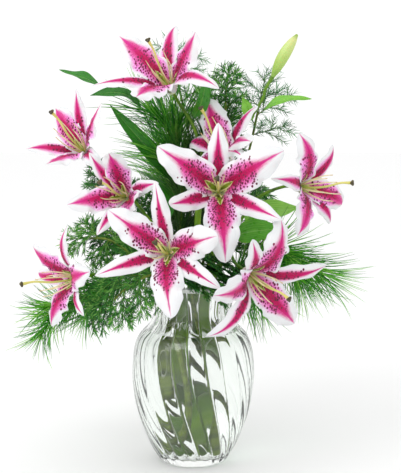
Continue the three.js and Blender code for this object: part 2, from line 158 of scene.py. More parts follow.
def shellBlade(points, sides, faceWays, halfWidth, lift, thick, shift=0.0):
    # A closed thin blade. points, sides and faceWays run along it, lift and thick are grids of rows
    # along it and columns across it, from one margin to the other.
    rows, columns = lift.shape
    margins = np.linspace(-1, 1, columns)
    spread = (halfWidth[:, None] * margins[None, :] + shift)[..., None]
    ups = faceWays[:, None, :]
    front = points[:, None, :] + spread * sides[:, None, :] + lift[..., None] * ups
    back = front - thick[..., None] * ups
    frontIndex = np.arange(rows * columns).reshape(rows, columns)
    backIndex = frontIndex.copy()
    inner = np.arange((rows - 2) * (columns - 2)).reshape(rows - 2, columns - 2) + rows * columns
    backIndex[1:-1, 1:-1] = inner
    vertices = np.concatenate([front.reshape(-1, 3), back[1:-1, 1:-1].reshape(-1, 3)])
    grid = np.stack(np.meshgrid(np.linspace(0, 1, rows), 0.5 + 0.5 * margins, indexing="ij"), -1)
    uv = np.concatenate([grid.reshape(-1, 2), grid[1:-1, 1:-1].reshape(-1, 2)])

    def quads(index, flip):
        a, b, c, d = index[:-1, :-1], index[1:, :-1], index[1:, 1:], index[:-1, 1:]
        order = (a, d, c, b) if flip else (a, b, c, d)
        return np.stack(order, -1).reshape(-1, 4)

    faces = np.concatenate([quads(frontIndex, False), quads(backIndex, True)])
    half = (rows - 1) * (columns - 1)
    return {
        "vertices": vertices, "faces": [tuple(face) for face in faces.tolist()], "uv": uv,
        "FACE": {"inner": np.repeat([1.0, 0.0], half)}, "POINT": {},
    }


def tubePart(line, radii, sides, material=0, lobes=0, lobeDepth=0.0):
    # a closed tube along a line, its ends rounded off to a point
    line = np.asarray(line, float)
    count = len(line)
    radii = np.broadcast_to(np.asarray(radii, float), (count,))
    ways = np.gradient(line, axis=0)
    ways /= np.maximum(np.linalg.norm(ways, axis=1, keepdims=True), 1e-12)
    normals = [unit(np.cross(ways[0], [0, 0, 1] if abs(ways[0][2]) < 0.9 else [1, 0, 0]))]
    for way in ways[1:]:
        normals.append(squareTo(way, normals[-1]))
    normals = np.array(normals)
    others = np.cross(ways, normals)
    angles = np.linspace(0, fullTurn, sides, endpoint=False)
    swell = 1 + lobeDepth * np.cos(lobes * angles)
    rings = (
        line[:, None, :]
        + (radii[:, None] * (swell * np.cos(angles))[None, :])[..., None] * normals[:, None, :]
        + (radii[:, None] * (swell * np.sin(angles))[None, :])[..., None] * others[:, None, :]
    )
    low = line[0] - ways[0] * radii[0] * 0.5
    high = line[-1] + ways[-1] * radii[-1] * 0.5
    faces = []
    for i in range(count - 1):
        for j in range(sides):
            k = (j + 1) % sides
            faces.append((i * sides + j, i * sides + k, (i + 1) * sides + k, (i + 1) * sides + j))
    for j in range(sides):
        k = (j + 1) % sides
        faces.append((count * sides, k, j))
        faces.append((count * sides + 1, (count - 1) * sides + j, (count - 1) * sides + k))
    lengths = lengthsAlong(line)
    places = (lengths / max(lengths[-1], 1e-9), np.linspace(0, 1, sides, endpoint=False))
    uv = np.stack(np.meshgrid(*places, indexing="ij"), -1).reshape(-1, 2)
    return {
        "vertices": np.concatenate([rings.reshape(-1, 3), [low, high]]), "faces": faces,
        "uv": np.concatenate([uv, [[0, 0.5], [1, 0.5]]]), "material": material,
    }


def join(tree, value, socket):
    # a link where the value comes from a node, and otherwise the socket's own value
    if isinstance(value, bpy.types.NodeSocket):
        tree.links.new(value, socket)
    elif isinstance(value, bpy.types.Node):
        tree.links.new(value.outputs[0], socket)
    else:
        socket.default_value = value


def put(tree, kind, settings=None, **inputs):
    # adds a node; settings are its own properties, inputs go to its sockets by name or place
    node = tree.nodes.new(kind)
    for label, value in (settings or {}).items():
        setattr(node, label, value)
    for label, value in inputs.items():
        place = int(label[1:]) if label[1:].isdigit() else label.replace("_", " ")
        join(tree, value, node.inputs[place])
    return node


def newMaterial(name):
    material = bpy.data.materials.new(name)
    material.use_nodes = True
    return material, material.node_tree


def dress(material, **looks):
    # gives the material's shader its values and links, by the name of each socket
    tree = material.node_tree
    for label, value in looks.items():
        join(tree, value, tree.nodes["Principled BSDF"].inputs[label.replace("_", " ")])
    return material


def sums(tree, operation, a, b=0.0, c=0.0):
    return put(tree, "ShaderNodeMath", {"operation": operation}, _0=a, _1=b, _2=c).outputs[0]


def added(tree, a, b):
    return sums(tree, "ADD", a, b)


def lessBy(tree, a, b):
    return sums(tree, "SUBTRACT", a, b)


def times(tree, a, b):
    return sums(tree, "MULTIPLY", a, b)


def strayed(tree, value, noise, factor, shift):
    # the value moved by a share of a noise
    return added(tree, value, sums(tree, "MULTIPLY_ADD", noise, factor, shift))


def smoothStep(tree, value, low, high, fromValue=0.0, toValue=1.0):
    node = put(tree, "ShaderNodeMapRange", {"interpolation_type": "SMOOTHSTEP"}, Value=value,
               From_Min=low, From_Max=high, To_Min=fromValue, To_Max=toValue)
    return node.outputs["Result"]


def rampOf(tree, value, stops, interpolation="LINEAR"):
    # stops are places with a display colour, or with one grey level
    node = put(tree, "ShaderNodeValToRGB", Fac=value)
    node.color_ramp.interpolation = interpolation
    for i, (place, colour) in enumerate(stops):
        stop = node.color_ramp.elements[i] if i < 2 else node.color_ramp.elements.new(place)
        stop.position = place
        stop.color = srgb(*colour) if isinstance(colour, tuple) else (colour, colour, colour, 1)
    return node.outputs[0]


def curveOf(tree, value, stops):
    return rampOf(tree, value, stops, "B_SPLINE")


def blendColours(tree, share, first, second):
    # each colour is a socket or a display colour
    first, second = (srgb(*c) if isinstance(c, tuple) else c for c in (first, second))
    node = put(tree, "ShaderNodeMix", {"data_type": "RGBA"}, _0=share, _6=first, _7=second)
    return node.outputs[2]


def noiseOf(tree, place, scale, detail=3.0, stretch=None, roughness=0.5):
    if stretch:
        place = put(tree, "ShaderNodeMapping", Vector=place, Scale=stretch).outputs[0]
    node = put(tree, "ShaderNodeTexNoise", Vector=place, Scale=scale, Detail=detail, Roughness=roughness)
    return node.outputs[0]


def veinsOf(tree, uv, scale, distortion, detail):
    settings = {"bands_direction": "Y", "wave_profile": "SIN"}
    node = put(tree, "ShaderNodeTexWave", settings, Vector=uv, Scale=scale, Distortion=distortion,
               Detail=detail)
    return node.outputs["Fac"]


def bumpOf(tree, height, strength, distance):
    return put(tree, "ShaderNodeBump", Height=height, Strength=strength, Distance=distance).outputs[0]


def objectPlace(tree):
    return put(tree, "ShaderNodeTexCoord").outputs["Object"]


def layerOf(tree, label):
    return put(tree, "ShaderNodeAttribute", {"attribute_name": label}).outputs["Fac"]


def mapPlaces(tree):
    # how far along the skin, and how far from its midrib, both 0 to 1
    uv = put(tree, "ShaderNodeUVMap", {"uv_map": "skinMap"}).outputs[0]
    split = put(tree, "ShaderNodeSeparateXYZ", Vector=uv)
    off = sums(tree, "ABSOLUTE", sums(tree, "MULTIPLY_ADD", split.outputs[1], 2.0, -1.0))
    return uv, split.outputs[0], off


def newTree(name, inputs):
    # a geometry node tree; inputs are names with the kind and first value of each socket
    tree = bpy.data.node_groups.new(name, "GeometryNodeTree")
    tree.interface.new_socket("Geometry", in_out="INPUT", socket_type="NodeSocketGeometry")
    for label, (kind, value) in inputs.items():
        socket = tree.interface.new_socket(label, in_out="INPUT", socket_type="NodeSocket" + kind)
        if value is not None:
            socket.default_value = value
    tree.interface.new_socket("Geometry", in_out="OUTPUT", socket_type="NodeSocketGeometry")
    given = tree.nodes.new("NodeGroupInput")
    result = tree.nodes.new("NodeGroupOutput")
    return tree, given.outputs, result


def finishTree(tree, result, painted, other):
    both = put(tree, "GeometryNodeJoinGeometry")
    tree.links.new(painted, both.inputs[0])
    tree.links.new(other, both.inputs[0])
    tree.links.new(both.outputs[0], result.inputs[0])
    return tree


def paintedMesh(tree, geometry, material):
    # copies made real, smoothed and given their material
    plain = put(tree, "GeometryNodeRealizeInstances", Geometry=geometry)
    smooth = put(tree, "GeometryNodeSetShadeSmooth", Geometry=plain)
    return put(tree, "GeometryNodeSetMaterial", Geometry=smooth, Material=material).outputs[0]


def randomValue(tree, low, high, seed):
    node = put(tree, "FunctionNodeRandomValue", {"data_type": "FLOAT"}, _2=low, _3=high, Seed=seed)
    return node.outputs[1]


def namedLayer(tree, label, kind="FLOAT"):
    node = put(tree, "GeometryNodeInputNamedAttribute", {"data_type": kind}, Name=label)
    return node.outputs["Attribute"]


def grow(piece, tree, settings):
    # runs a tree on a piece once and leaves a plain mesh
    modifier = piece.modifiers.new("grow", "NODES")
    modifier.node_group = tree
    for item in tree.interface.items_tree:
        if item.in_out == "INPUT" and item.name in settings:
            modifier[item.identifier] = settings[item.name]
    graph = bpy.context.evaluated_depsgraph_get()
    mesh = bpy.data.meshes.new_from_object(
        piece.evaluated_get(graph), preserve_all_data_layers=True, depsgraph=graph
    )
    old = piece.data
    piece.modifiers.clear()
    piece.data = mesh
    bpy.data.meshes.remove(old)
    return piece


studio = {
    "cameraPlace": (0.008, -1.565, 0.473), "lookAt": (0.008, 0.0, 0.2485), "lens": 74.03,
    "sensorHeight": 24, "worldStrength": 1.06, "keyPlace": (-1.1, -1.3, 1.7), "keyAim": (0, 0, 0.25),
    "keySize": 1.1, "keyWatts": 14.0, "floorSize": 8.0, "floorColour": (246, 246, 246),
}


def aimedAt(item, place, target):
    item.location = place
    item.rotation_euler = (Vector(target) - item.location).to_track_quat("-Z", "Y").to_euler()
    return item


def buildStudio():
    cameraData = bpy.data.cameras.new("portrait")
    cameraData.sensor_fit = "VERTICAL"
    cameraData.sensor_height = studio["sensorHeight"]
    cameraData.lens = studio["lens"]
    camera = aimedAt(linkPiece("portrait", cameraData), studio["cameraPlace"], studio["lookAt"])
    bpy.context.scene.camera = camera

    keyData = bpy.data.lights.new("softbox", "AREA")
    keyData.energy = studio["keyWatts"]
    keyData.size = studio["keySize"]
    aimedAt(linkPiece("softbox", keyData), studio["keyPlace"], studio["keyAim"])

    world = bpy.data.worlds.new("paleRoom")
    bpy.context.scene.world = world
    world.use_nodes = True
    background = world.node_tree.nodes["Background"]
    background.inputs["Color"].default_value = (1, 1, 1, 1)
    background.inputs["Strength"].default_value = studio["worldStrength"]
    bpy.context.scene.view_settings.view_transform = "Standard"

    material, tree = newMaterial("studioFloor")
    dress(material, Base_Color=srgb(*studio["floorColour"]), Roughness=0.9)
    half = studio["floorSize"] / 2
    corners = [(-half, -half, 0), (half, -half, 0), (half, half, 0), (-half, half, 0)]
    newPiece("floor", corners, [(0, 1, 2, 3)], [material])


vaseLook = {
    "ribs": 22, "ribDepth": 1.3 * mm, "innerRibDepth": 0.35 * mm, "twist": 42.0, "twistPower": 2.6,
    "sidesPerRib": 10, "rows": 74, "footRound": 2.5 * mm, "puntDepth": 3.0 * mm, "waterLap": 0.25 * mm,
}


def vaseRings():
    # the CAD vase's outer radius at each height of its outline, and its wall
    places = nodeVertices("vase")
    radii = np.hypot(places[:, 0], places[:, 1])
    outer, inner = {}, {}
    for radius, height in zip(radii, places[:, 2]):
        level = round(height * 1e5)
        outer[level] = max(outer.get(level, 0), radius)
        if radius > 5 * mm:
            inner[level] = min(inner.get(level, 1), radius)
    levels = sorted(level for level in outer if outer[level] > 10 * mm)
    wall = min(outer[level] - inner[level] for level in levels if outer[level] - inner[level] > 1 * mm)
    # the floor's own ring stands inside the wall, so it isn't part of the outline
    outline = [
        (level / 1e5, outer[level]) for level in levels
        if level == levels[0] or outer[level] - inner[level] > 1 * mm
    ]
    return np.array(outline), wall


def smoothOutline(outline, count):
    line = centripetal([(r, h) for h, r in outline], 12)
    heights = np.linspace(outline[0][0], outline[-1][0], count)
    return heights, np.interp(heights, line[:, 1], line[:, 0])


def ribTurn(heights, top):
    return math.radians(vaseLook["twist"]) * (1 - np.clip(heights / top, 0, 1)) ** vaseLook["twistPower"]


def latheSkin(runs, sides, top):
    # runs are the radii, the heights and the depths of the ribs, one stretch of the outline after another
    radii, heights, depths = (np.concatenate([np.ravel(run[k]) for run in runs]) for k in range(3))
    angles = np.linspace(0, fullTurn, sides, endpoint=False)
    turned = angles[None, :] - ribTurn(heights, top)[:, None]
    wave = np.abs(np.sin(turned * vaseLook["ribs"] / 2)) ** 0.85 - 0.62
    reach = radii[:, None] + depths[:, None] * wave
    return np.stack([reach * np.cos(angles), reach * np.sin(angles),
                     np.broadcast_to(heights[:, None], reach.shape)], -1)


def plainRun(places, depth=0.0):
    # places are pairs of radius and height
    radii, heights = zip(*places)
    return radii, heights, np.full(len(places), depth)


def closedLathe(name, rings, materials):
    # rings run from the middle of the underside, out, up, in and down to the middle again
    rows, sides, _ = rings.shape
    vertices = np.concatenate([rings.reshape(-1, 3), [rings[0].mean(0), rings[-1].mean(0)]])
    index = np.arange(rows * sides).reshape(rows, sides)
    nextIndex = np.roll(index, -1, axis=1)
    faces = np.stack([index[:-1], nextIndex[:-1], nextIndex[1:], index[1:]], -1).reshape(-1, 4).tolist()
    faces += [(rows * sides, nextIndex[0][j], index[0][j]) for j in range(sides)]
    faces += [(rows * sides + 1, index[-1][j], nextIndex[-1][j]) for j in range(sides)]
    return newPiece(name, vertices, faces, materials, crease=50)


def shadowThrough(material, tint):
    # light reaches what stands in the glass and in the water
    tree = material.node_tree
    path = put(tree, "ShaderNodeLightPath")
    clear = put(tree, "ShaderNodeBsdfTransparent", Color=tint)
    mix = put(tree, "ShaderNodeMixShader", _0=path.outputs["Is Shadow Ray"],
              _1=tree.nodes["Principled BSDF"], _2=clear)
    tree.links.new(mix.outputs[0], tree.nodes["Material Output"].inputs["Surface"])
    return material


def glassMaterial(name, clearness):
    material, tree = newMaterial(name)
    ripple = noiseOf(tree, objectPlace(tree), 38.0, 2.0)
    dress(material, Base_Color=(0.965, 0.985, 0.97, 1), Roughness=0.0, IOR=1.45,
          Transmission_Weight=clearness, Normal=bumpOf(tree, ripple, 0.10, 0.6 * mm))
    return shadowThrough(material, (0.93, 0.96, 0.94, 1))


def waterMaterial():
    material, tree = newMaterial("water")
    dress(material, Base_Color=(0.985, 0.995, 0.985, 1), Roughness=0.0, IOR=1.33, Transmission_Weight=1.0)
    return shadowThrough(material, (0.97, 0.99, 0.97, 1))


def buildVase():
    look = vaseLook
    outline, wall = vaseRings()
    top = outline[-1][0]
    levels = np.unique(np.round(nodeVertices("vase")[:, 2], 5))
    floorTop = min(h for h in levels if h > 5 * mm)
    heights, radii = smoothOutline(outline, look["rows"])
    sides = look["ribs"] * look["sidesPerRib"]
    fade = ease(0, 0.012, heights) * (1 - 0.75 * ease(top - 0.02, top - 0.004, heights))

    # underside with a shallow hollow, then the rounded edge of the foot
    foot, edge = radii[0], look["footRound"]
    under = [(0.25 * foot, look["puntDepth"]), (0.55 * foot, 0.7 * look["puntDepth"]),
             (foot - 2.6 * edge, 0.3 * mm), (foot - 1.6 * edge, 0.0), (foot - 0.6 * edge, 0.25 * mm),
             (foot - 0.1 * edge, 1.0 * mm)]
    # the rim, rounded over from the outer to the inner wall
    middle = radii[-1] - wall / 2
    arcs = np.linspace(0, math.pi, 9)[1:-1]
    rim = [(middle + wall / 2 * math.cos(a), top - wall * 0.5 + wall * 0.5 * math.sin(a)) for a in arcs]
    below = heights < top - wall * 0.5
    keep = (heights > 1.8 * mm) & below
    inside = below & (heights > floorTop + 1 * mm)
    innerRadii = (radii[inside] - wall)[::-1]
    floorRadius = innerRadii[-1]
    base = [(floorRadius - 1.2 * mm, floorTop + 0.35 * mm), (floorRadius - 3.5 * mm, floorTop),
            (floorRadius * 0.5, floorTop), (floorRadius * 0.2, floorTop)]
    rings = latheSkin([
        plainRun(under), (radii[keep], heights[keep], look["ribDepth"] * fade[keep]),
        plainRun(rim, 0.2 * look["ribDepth"]),
        (innerRadii, heights[inside][::-1], -look["innerRibDepth"] * fade[inside][::-1]), plainRun(base),
    ], sides, top)
    # painted light: the rim's glass is made only partly clear, so it renders pale where light trapped in
    # the wall would leave a dark ring
    skins = [glassMaterial("clearGlass", 1.0), glassMaterial("paintedLightRimGlass", 0.6)]
    vase = closedLathe("vaseGlass", rings, skins)
    rows = np.arange(len(vase.data.polygons)) // sides
    start = len(under) + np.count_nonzero(keep) - 2
    onRim = (rows >= start) & (rows < start + len(rim) + 3)
    # painted light: the rim faces take the less clear, paler glass
    vase.data.polygons.foreach_set("material_index", onRim.astype(np.int32))
    finishPiece(vase, "vase_glass", "vase")

    # water up to its own level, with a meniscus where it meets the glass
    level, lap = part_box("water")[1].z, look["waterLap"]
    wet = (heights > floorTop + 1 * mm) & (heights < level - 2.5 * mm)
    wetRadii = radii[wet] - wall + lap
    start = floorTop - lap
    shore = np.interp(level, heights, radii) - wall + lap
    low = [(0.2 * foot, start), (wetRadii[0] - 1.5 * mm, start), (wetRadii[0] - 0.3 * mm, start + 0.6 * mm)]
    meniscus = [(shore, level + 0.9 * mm), (shore - 0.7 * mm, level + 0.25 * mm), (shore - 2.0 * mm, level),
                (shore * 0.6, level), (shore * 0.2, level)]
    rings = latheSkin([
        plainRun(low), (wetRadii, heights[wet], -look["innerRibDepth"] * fade[wet]), plainRun(meniscus),
    ], sides // 2, top)
    finishPiece(closedLathe("vaseWater", rings, [waterMaterial()]), "water", "water")
    print("vase and water built")


bouquet = {
    "stemRadius": 3.8 * mm, "stalkRadius": 1.9 * mm, "greenRadius": 1.5 * mm, "stemTwist": 60.0,
    "lilyRing": (12 * mm, 18 * mm), "greenRing": (25 * mm, 31 * mm), "mouthDepth": 34 * mm,
    "glassFloor": 10 * mm, "gap": 0.4 * mm,
}

# where each lily stem stands in the neck, the points it passes above the rim and what its stalks carry
lilyStems = {
    "crown": {"angle": 90, "through": [(4, 30, 50), (10, 33, 130)], "carries": ("crown", "bud")},
    "left": {"angle": 162, "through": [(-30, 10, 25), (-46, 12, 62)], "carries": ("upper_left", "left")},
    "front": {
        "angle": 234, "through": [(-16, -22, 10), (-24, -28, 26)], "carries": ("lower_left", "front"),
    },
    "middle": {"angle": 306, "through": [(19, -14, 25), (26, -10, 68)], "carries": ("middle", "behind")},
    "right": {"angle": 18, "through": [(27, 6, 12), (38, 2, 36)], "carries": ("right", "lower_right")},
}
stalkBends = {
    "crown": [(0, 34, 166)], "bud": [(50, 26, 160), (76, 20, 198)], "upper_left": [(-78, 26, 100)],
    "lower_left": [(-58, -14, 33)], "right": [(66, 12, 86)],
}
bud = {"base": (86, 20, 220), "tip": (112, 20, 265)}

# Each bloom: where it joins its stalk, the compass and rise of its axis, the clock angle of its first
# tepal, the tepals' length, how far they open and how pink they are, and each tepal's own turn, curl and
# extra length.
blooms = {
    "crown": {
        "at": (-22, 18, 204), "compass": -30, "rise": 45, "clock": 157, "length": 87, "open": 99,
        "flush": 0.85,
        "tepals": [(-3, -10, 0), (4, 25, -3), (-9, -60, -9), (12, 40, 5), (0, -35, 0), (-3, -15, 4)],
    },
    "upper_left": {
        "at": (-113, 7, 135), "compass": -39, "rise": 39, "clock": 152, "length": 72, "open": 92,
        "flush": 0.95,
        "tepals": [(-9, 15, -2), (8, -25, 0), (4, -35, 0), (0, 55, -10), (8, -40, -4), (-4, -5, -4)],
    },
    "left": {
        "at": (-69, -34, 95), "compass": -20, "rise": 15, "clock": 81, "length": 68, "open": 73,
        "flush": 0.95,
        "tepals": [(6, -45, -2), (-3, 5, 0), (8, -50, 0), (-2, -15, 0), (-3, -5, 0), (-6, 0, -4)],
    },
    "lower_left": {
        "at": (-118, -13, 7), "compass": -56, "rise": -4, "clock": 136, "length": 71, "open": 111,
        "flush": 1.0,
        "tepals": [(6, -10, -2), (3, 10, 3), (-2, 20, 0), (12, -10, -5), (-9, -10, -4), (-11, 15, 0)],
    },
    "front": {
        "at": (-24, -79, 42), "compass": -10, "rise": 14, "clock": 147, "length": 84, "open": 101,
        "flush": 0.3,
        "tepals": [(-3, 0, 0), (7, -5, 0), (-12, -35, -4), (0, 5, 0), (11, 5, 0), (-3, 0, 3)],
    },
    "middle": {
        "at": (27, -48, 102), "compass": -2, "rise": 14, "clock": 150, "length": 92, "open": 93,
        "flush": 0.5,
        "tepals": [(-3, 0, 0), (0, 10, -12), (-3, 5, 3), (-2, -10, 0), (11, 15, 4), (-2, -65, -6)],
    },
    "behind": {
        "at": (41, 5, 128), "compass": -48, "rise": 51, "clock": 136, "length": 83, "open": 108,
        "flush": 0.7,
        "tepals": [(-4, -25, 0), (0, 0, -12), (-22, -15, -2), (22, -5, 2), (0, 20, -20), (-17, 50, -8)],
    },
    "right": {
        "at": (110, -2, 103), "compass": 49, "rise": 4, "clock": 108, "length": 72, "open": 121,
        "flush": 0.95,
        "tepals": [(0, 5, 0), (-7, 5, -2), (-11, 15, 0), (17, 15, -6), (0, -10, 0), (-3, 20, 0)],
    },
    "lower_right": {
        "at": (54, -71, 23), "compass": 36, "rise": -18, "clock": 65, "length": 89, "open": 113,
        "flush": 0.6,
        "tepals": [(7, 30, -4), (7, -5, 3), (5, 5, 0), (-13, 30, 5), (-4, -20, 0), (0, -30, 0)],
    },
}


def planned(point):
    # a point of the bouquet, given in millimetres with its height above the rim
    return np.array(point) * mm + np.array([0, 0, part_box("vase")[1].z])


def bloomFrame(bloom):
    turn, lift = math.radians(bloom["compass"]), math.radians(bloom["rise"])
    axis = np.array([math.sin(turn) * math.cos(lift), -math.cos(turn) * math.cos(lift), math.sin(lift)])
    up = squareTo(axis, np.array([0, 0, 1]))
    return axis, up, np.cross(up, axis)


def clockWay(bloom, degrees):
    # where a clock angle points on the face of a bloom, from its first tepal on
    axis, up, right = bloomFrame(bloom)
    turn = math.radians(bloom["clock"] + degrees)
    return right * math.cos(turn) + up * math.sin(turn)


def standing(ring, angle, radius):
    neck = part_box("vase")[1].z - bouquet["mouthDepth"]

    def at(size, degrees, height):
        turn = math.radians(degrees)
        return np.array([size * math.cos(turn), size * math.sin(turn), height])

    low = at(ring[0], angle + bouquet["stemTwist"], bouquet["glassFloor"] + 2 * mm + radius)
    high = at(ring[1], angle, neck + 16 * mm)
    return [low, (low + high) / 2, high]


def stalkEnd(carried):
    if carried == "bud":
        base, tip = planned(bud["base"]), planned(bud["tip"])
        return base, unit(tip - base)
    return planned(blooms[carried]["at"]), bloomFrame(blooms[carried])[0]


def stemMaterial():
    material, tree = newMaterial("greenStem")
    place = objectPlace(tree)
    mottle = noiseOf(tree, place, 60.0, 4.0, (1, 1, 0.25))
    streaks = noiseOf(tree, place, 260.0, 2.0, (1, 1, 0.08))
    colour = rampOf(tree, mottle, [(0.3, (46, 84, 0)), (0.52, (90, 134, 0)), (0.75, (146, 184, 24))])
    return dress(material, Base_Color=colour, Normal=bumpOf(tree, streaks, 0.3, 0.4 * mm),
                 Roughness=smoothStep(tree, mottle, 0.3, 0.7, 0.32, 0.5))


def stalkPart(line, carried):
    # the stalk that leaves the end of a stem and carries one bloom or the bud
    end, axis = stalkEnd(carried)
    way = [line[-1] - unit(line[-1] - line[-2]) * 3 * mm, line[-1]]
    way += [planned(point) for point in stalkBends.get(carried, [])]
    way += [end - axis * 16 * mm, end - axis * bouquet["gap"]]
    path = centripetal(way, 9)
    share = np.linspace(0, 1, len(path))
    swell = 1.25 - 0.35 * ease(0, 0.25, share) + 0.35 * ease(0.9, 1.0, share)
    return tubePart(path, bouquet["stalkRadius"] * swell, 12)


def buildStems():
    material = stemMaterial()
    for name, stem in lilyStems.items():
        points = standing(bouquet["lilyRing"], stem["angle"], bouquet["stemRadius"])
        line = centripetal(points + [planned(point) for point in stem["through"]], 14)
        rng = np.random.default_rng(len(name) + stem["angle"])
        share = np.linspace(0, 1, len(line))
        knots = 1 + 0.05 * np.sin(share * 60 + rng.uniform(0, 6)) ** 8
        radii = bouquet["stemRadius"] * (1 - 0.12 * share) * knots
        parts = [tubePart(line, radii, 18, lobes=5, lobeDepth=0.025)]
        parts += [stalkPart(line, carried) for carried in stem["carries"]]
        piece = pieceFrom("lilyStem." + name, parts, [material], 40)
        finishPiece(piece, "lily_stem", "lily_stem_" + name)
    print("lily stems built:", len(lilyStems))


tepalShape = {
    "rows": 46, "columns": 19, "petalWidth": 17.0 * mm, "sepalWidth": 10.2 * mm, "fullLength": 88.0,
    "thickness": 0.85 * mm, "throat": 18.0, "whorlHeight": 2.4 * mm, "petalSeat": 3.0 * mm,
    "sepalSeat": 4.6 * mm, "ruffle": 2.5 * mm, "ruffleWaves": 3.6, "groove": 0.9 * mm, "channel": 0.55,
    "recurve": 0.34, "twist": 13.0, "sweep": 3.2 * mm, "scallop": 0.05,
}
spotLook = {"Spots": 260000.0, "Gap": 2.15 * mm, "Size": 1.02 * mm}


def tepalSpine(bloom, index, rng):
    # the line that a tepal follows, with the ways to its side and out of its face
    shape = tepalShape
    wide = index % 2 == 0
    turn, curl, extra = bloom["tepals"][index]
    axis = bloomFrame(bloom)[0]
    out = clockWay(bloom, turn - 60 * index)
    side = np.cross(axis, out)
    length = (bloom["length"] + extra) * mm
    u = np.linspace(0, 1, shape["rows"])
    fine = np.linspace(0, 1, 400)
    lean = np.radians(shape["throat"] + (bloom["open"] - shape["throat"]) * fine + curl * fine**2)
    reach, rise = (
        np.concatenate([[0], np.cumsum(step(lean[:-1]))]) * length / 399 for step in (np.sin, np.cos)
    )
    seat = shape["petalSeat"] if wide else shape["sepalSeat"]
    start = (shape["whorlHeight"] + 0.4 * mm if wide else 0.0) + 0.6 * mm
    base = planned(bloom["at"]) + axis * start + out * seat
    points = base + np.interp(u, fine, reach)[:, None] * out + np.interp(u, fine, rise)[:, None] * axis
    points = points + (rng.normal(0, shape["sweep"]) * u**2)[:, None] * side
    here = np.interp(u, fine, lean)
    face = np.sin(here)[:, None] * axis - np.cos(here)[:, None] * out
    twist = np.radians(rng.normal(0, shape["twist"])) * u**1.5
    sides = np.cos(twist)[:, None] * side + np.sin(twist)[:, None] * face
    faces = -np.sin(twist)[:, None] * side + np.cos(twist)[:, None] * face
    return points, sides, faces


def ripple(grid, waves, faster, phases):
    # the waves of one margin
    return (np.sin(fullTurn * waves * grid + phases[0])
            + 0.5 * np.sin(fullTurn * faster * waves * grid + phases[1]))


def tepalPart(bloom, index, rng):
    shape = tepalShape
    wide = index % 2 == 0
    points, sides, faces = tepalSpine(bloom, index, rng)
    u = np.linspace(0, 1, shape["rows"])
    grid = u[:, None]
    v = np.linspace(-1, 1, shape["columns"])[None, :]
    off = np.abs(v)
    scale = bloom["length"] / shape["fullLength"]
    widest = (shape["petalWidth"] if wide else shape["sepalWidth"]) * scale
    profile = 0.30 * (1 - u) ** 3 + np.sin(math.pi * u**1.12) ** (0.52 if wide else 0.66)
    half = widest * np.maximum(profile, 0.02)

    # the blade's relief: ruffled margins, a channel at the foot, sides bent back, a groove and pleats
    waves = shape["ruffleWaves"] * (1.0 if wide else 0.7)
    phases = rng.uniform(0, 2 * math.pi, 6)
    ends = np.sin(math.pi * grid) ** 0.6 * ease(0.06, 0.3, grid)
    left = ripple(grid, waves, 1.8, phases[0:2])
    right = ripple(grid, waves, 1.7, phases[2:4])
    ruffle = np.where(v < 0, left, right) * off ** 2.6 * ends
    ruffle *= shape["ruffle"] * scale * (1.0 if wide else 0.45)
    channel = shape["channel"] * np.clip(1 - grid / 0.42, 0, 1) ** 1.5 * half[:, None] * v**2
    recurve = -shape["recurve"] * half[:, None] * off ** 2.4 * ease(0.25, 0.6, grid)
    groove = -shape["groove"] * scale * np.exp(-((v / 0.09) ** 2)) * ease(0.02, 0.12, grid)
    groove = groove * (1 - ease(0.8, 1.0, grid))
    pleat = 0.35 * mm * np.exp(-(((off - 0.42) / 0.14) ** 2)) * np.sin(math.pi * grid)
    lift = ruffle + channel + recurve + groove + pleat
    sidewise = np.where(v < 0, np.roll(left, 3, axis=0), np.roll(right, 3, axis=0))
    edge = shape["scallop"] * widest * sidewise * v * off ** 3 * ends
    thick = shape["thickness"] * scale * (1 - 0.75 * off ** 2) * (0.35 + 0.65 * (1 - grid) ** 0.8)
    part = shellBlade(points, sides, faces, half, lift, thick + 0.1 * mm, edge)

    # where papillae stand, on the front only
    reachIn = 0.84 if wide else 0.55
    spotty = ease(0.08, 0.18, grid) * (1 - ease(0.52, 0.76, grid + 0.12 * off))
    spotty = spotty * (1 - ease(reachIn - 0.2, reachIn + 0.06, off))
    spotty = spotty * (0.5 + 0.5 * ease(0.08, 0.3, off))
    count = len(part["vertices"])
    part["POINT"]["spotty"] = np.concatenate([spotty.ravel(), np.zeros(count - spotty.size)])
    part["POINT"]["flush"] = np.full(count, bloom["flush"] + rng.uniform(-0.12, 0.12))
    return part


def whorlDisc(bloom, radius, start, height):
    # the disc that joins three tepals
    axis = bloomFrame(bloom)[0]
    foot = planned(bloom["at"]) + axis * start
    line = foot + np.linspace(0.1, 0.9, 5)[:, None] * height * axis
    part = tubePart(line, radius * np.array([0.86, 1.0, 1.02, 1.0, 0.8]), 18, lobes=3, lobeDepth=0.04)
    count = len(part["vertices"])
    part["uv"] = part["uv"] * np.array([0.02, 0.0]) + np.array([0.0, 0.5])
    part["POINT"] = {"spotty": np.zeros(count), "flush": np.full(count, 0.5)}
    part["FACE"] = {"inner": np.zeros(len(part["faces"]))}
    return part


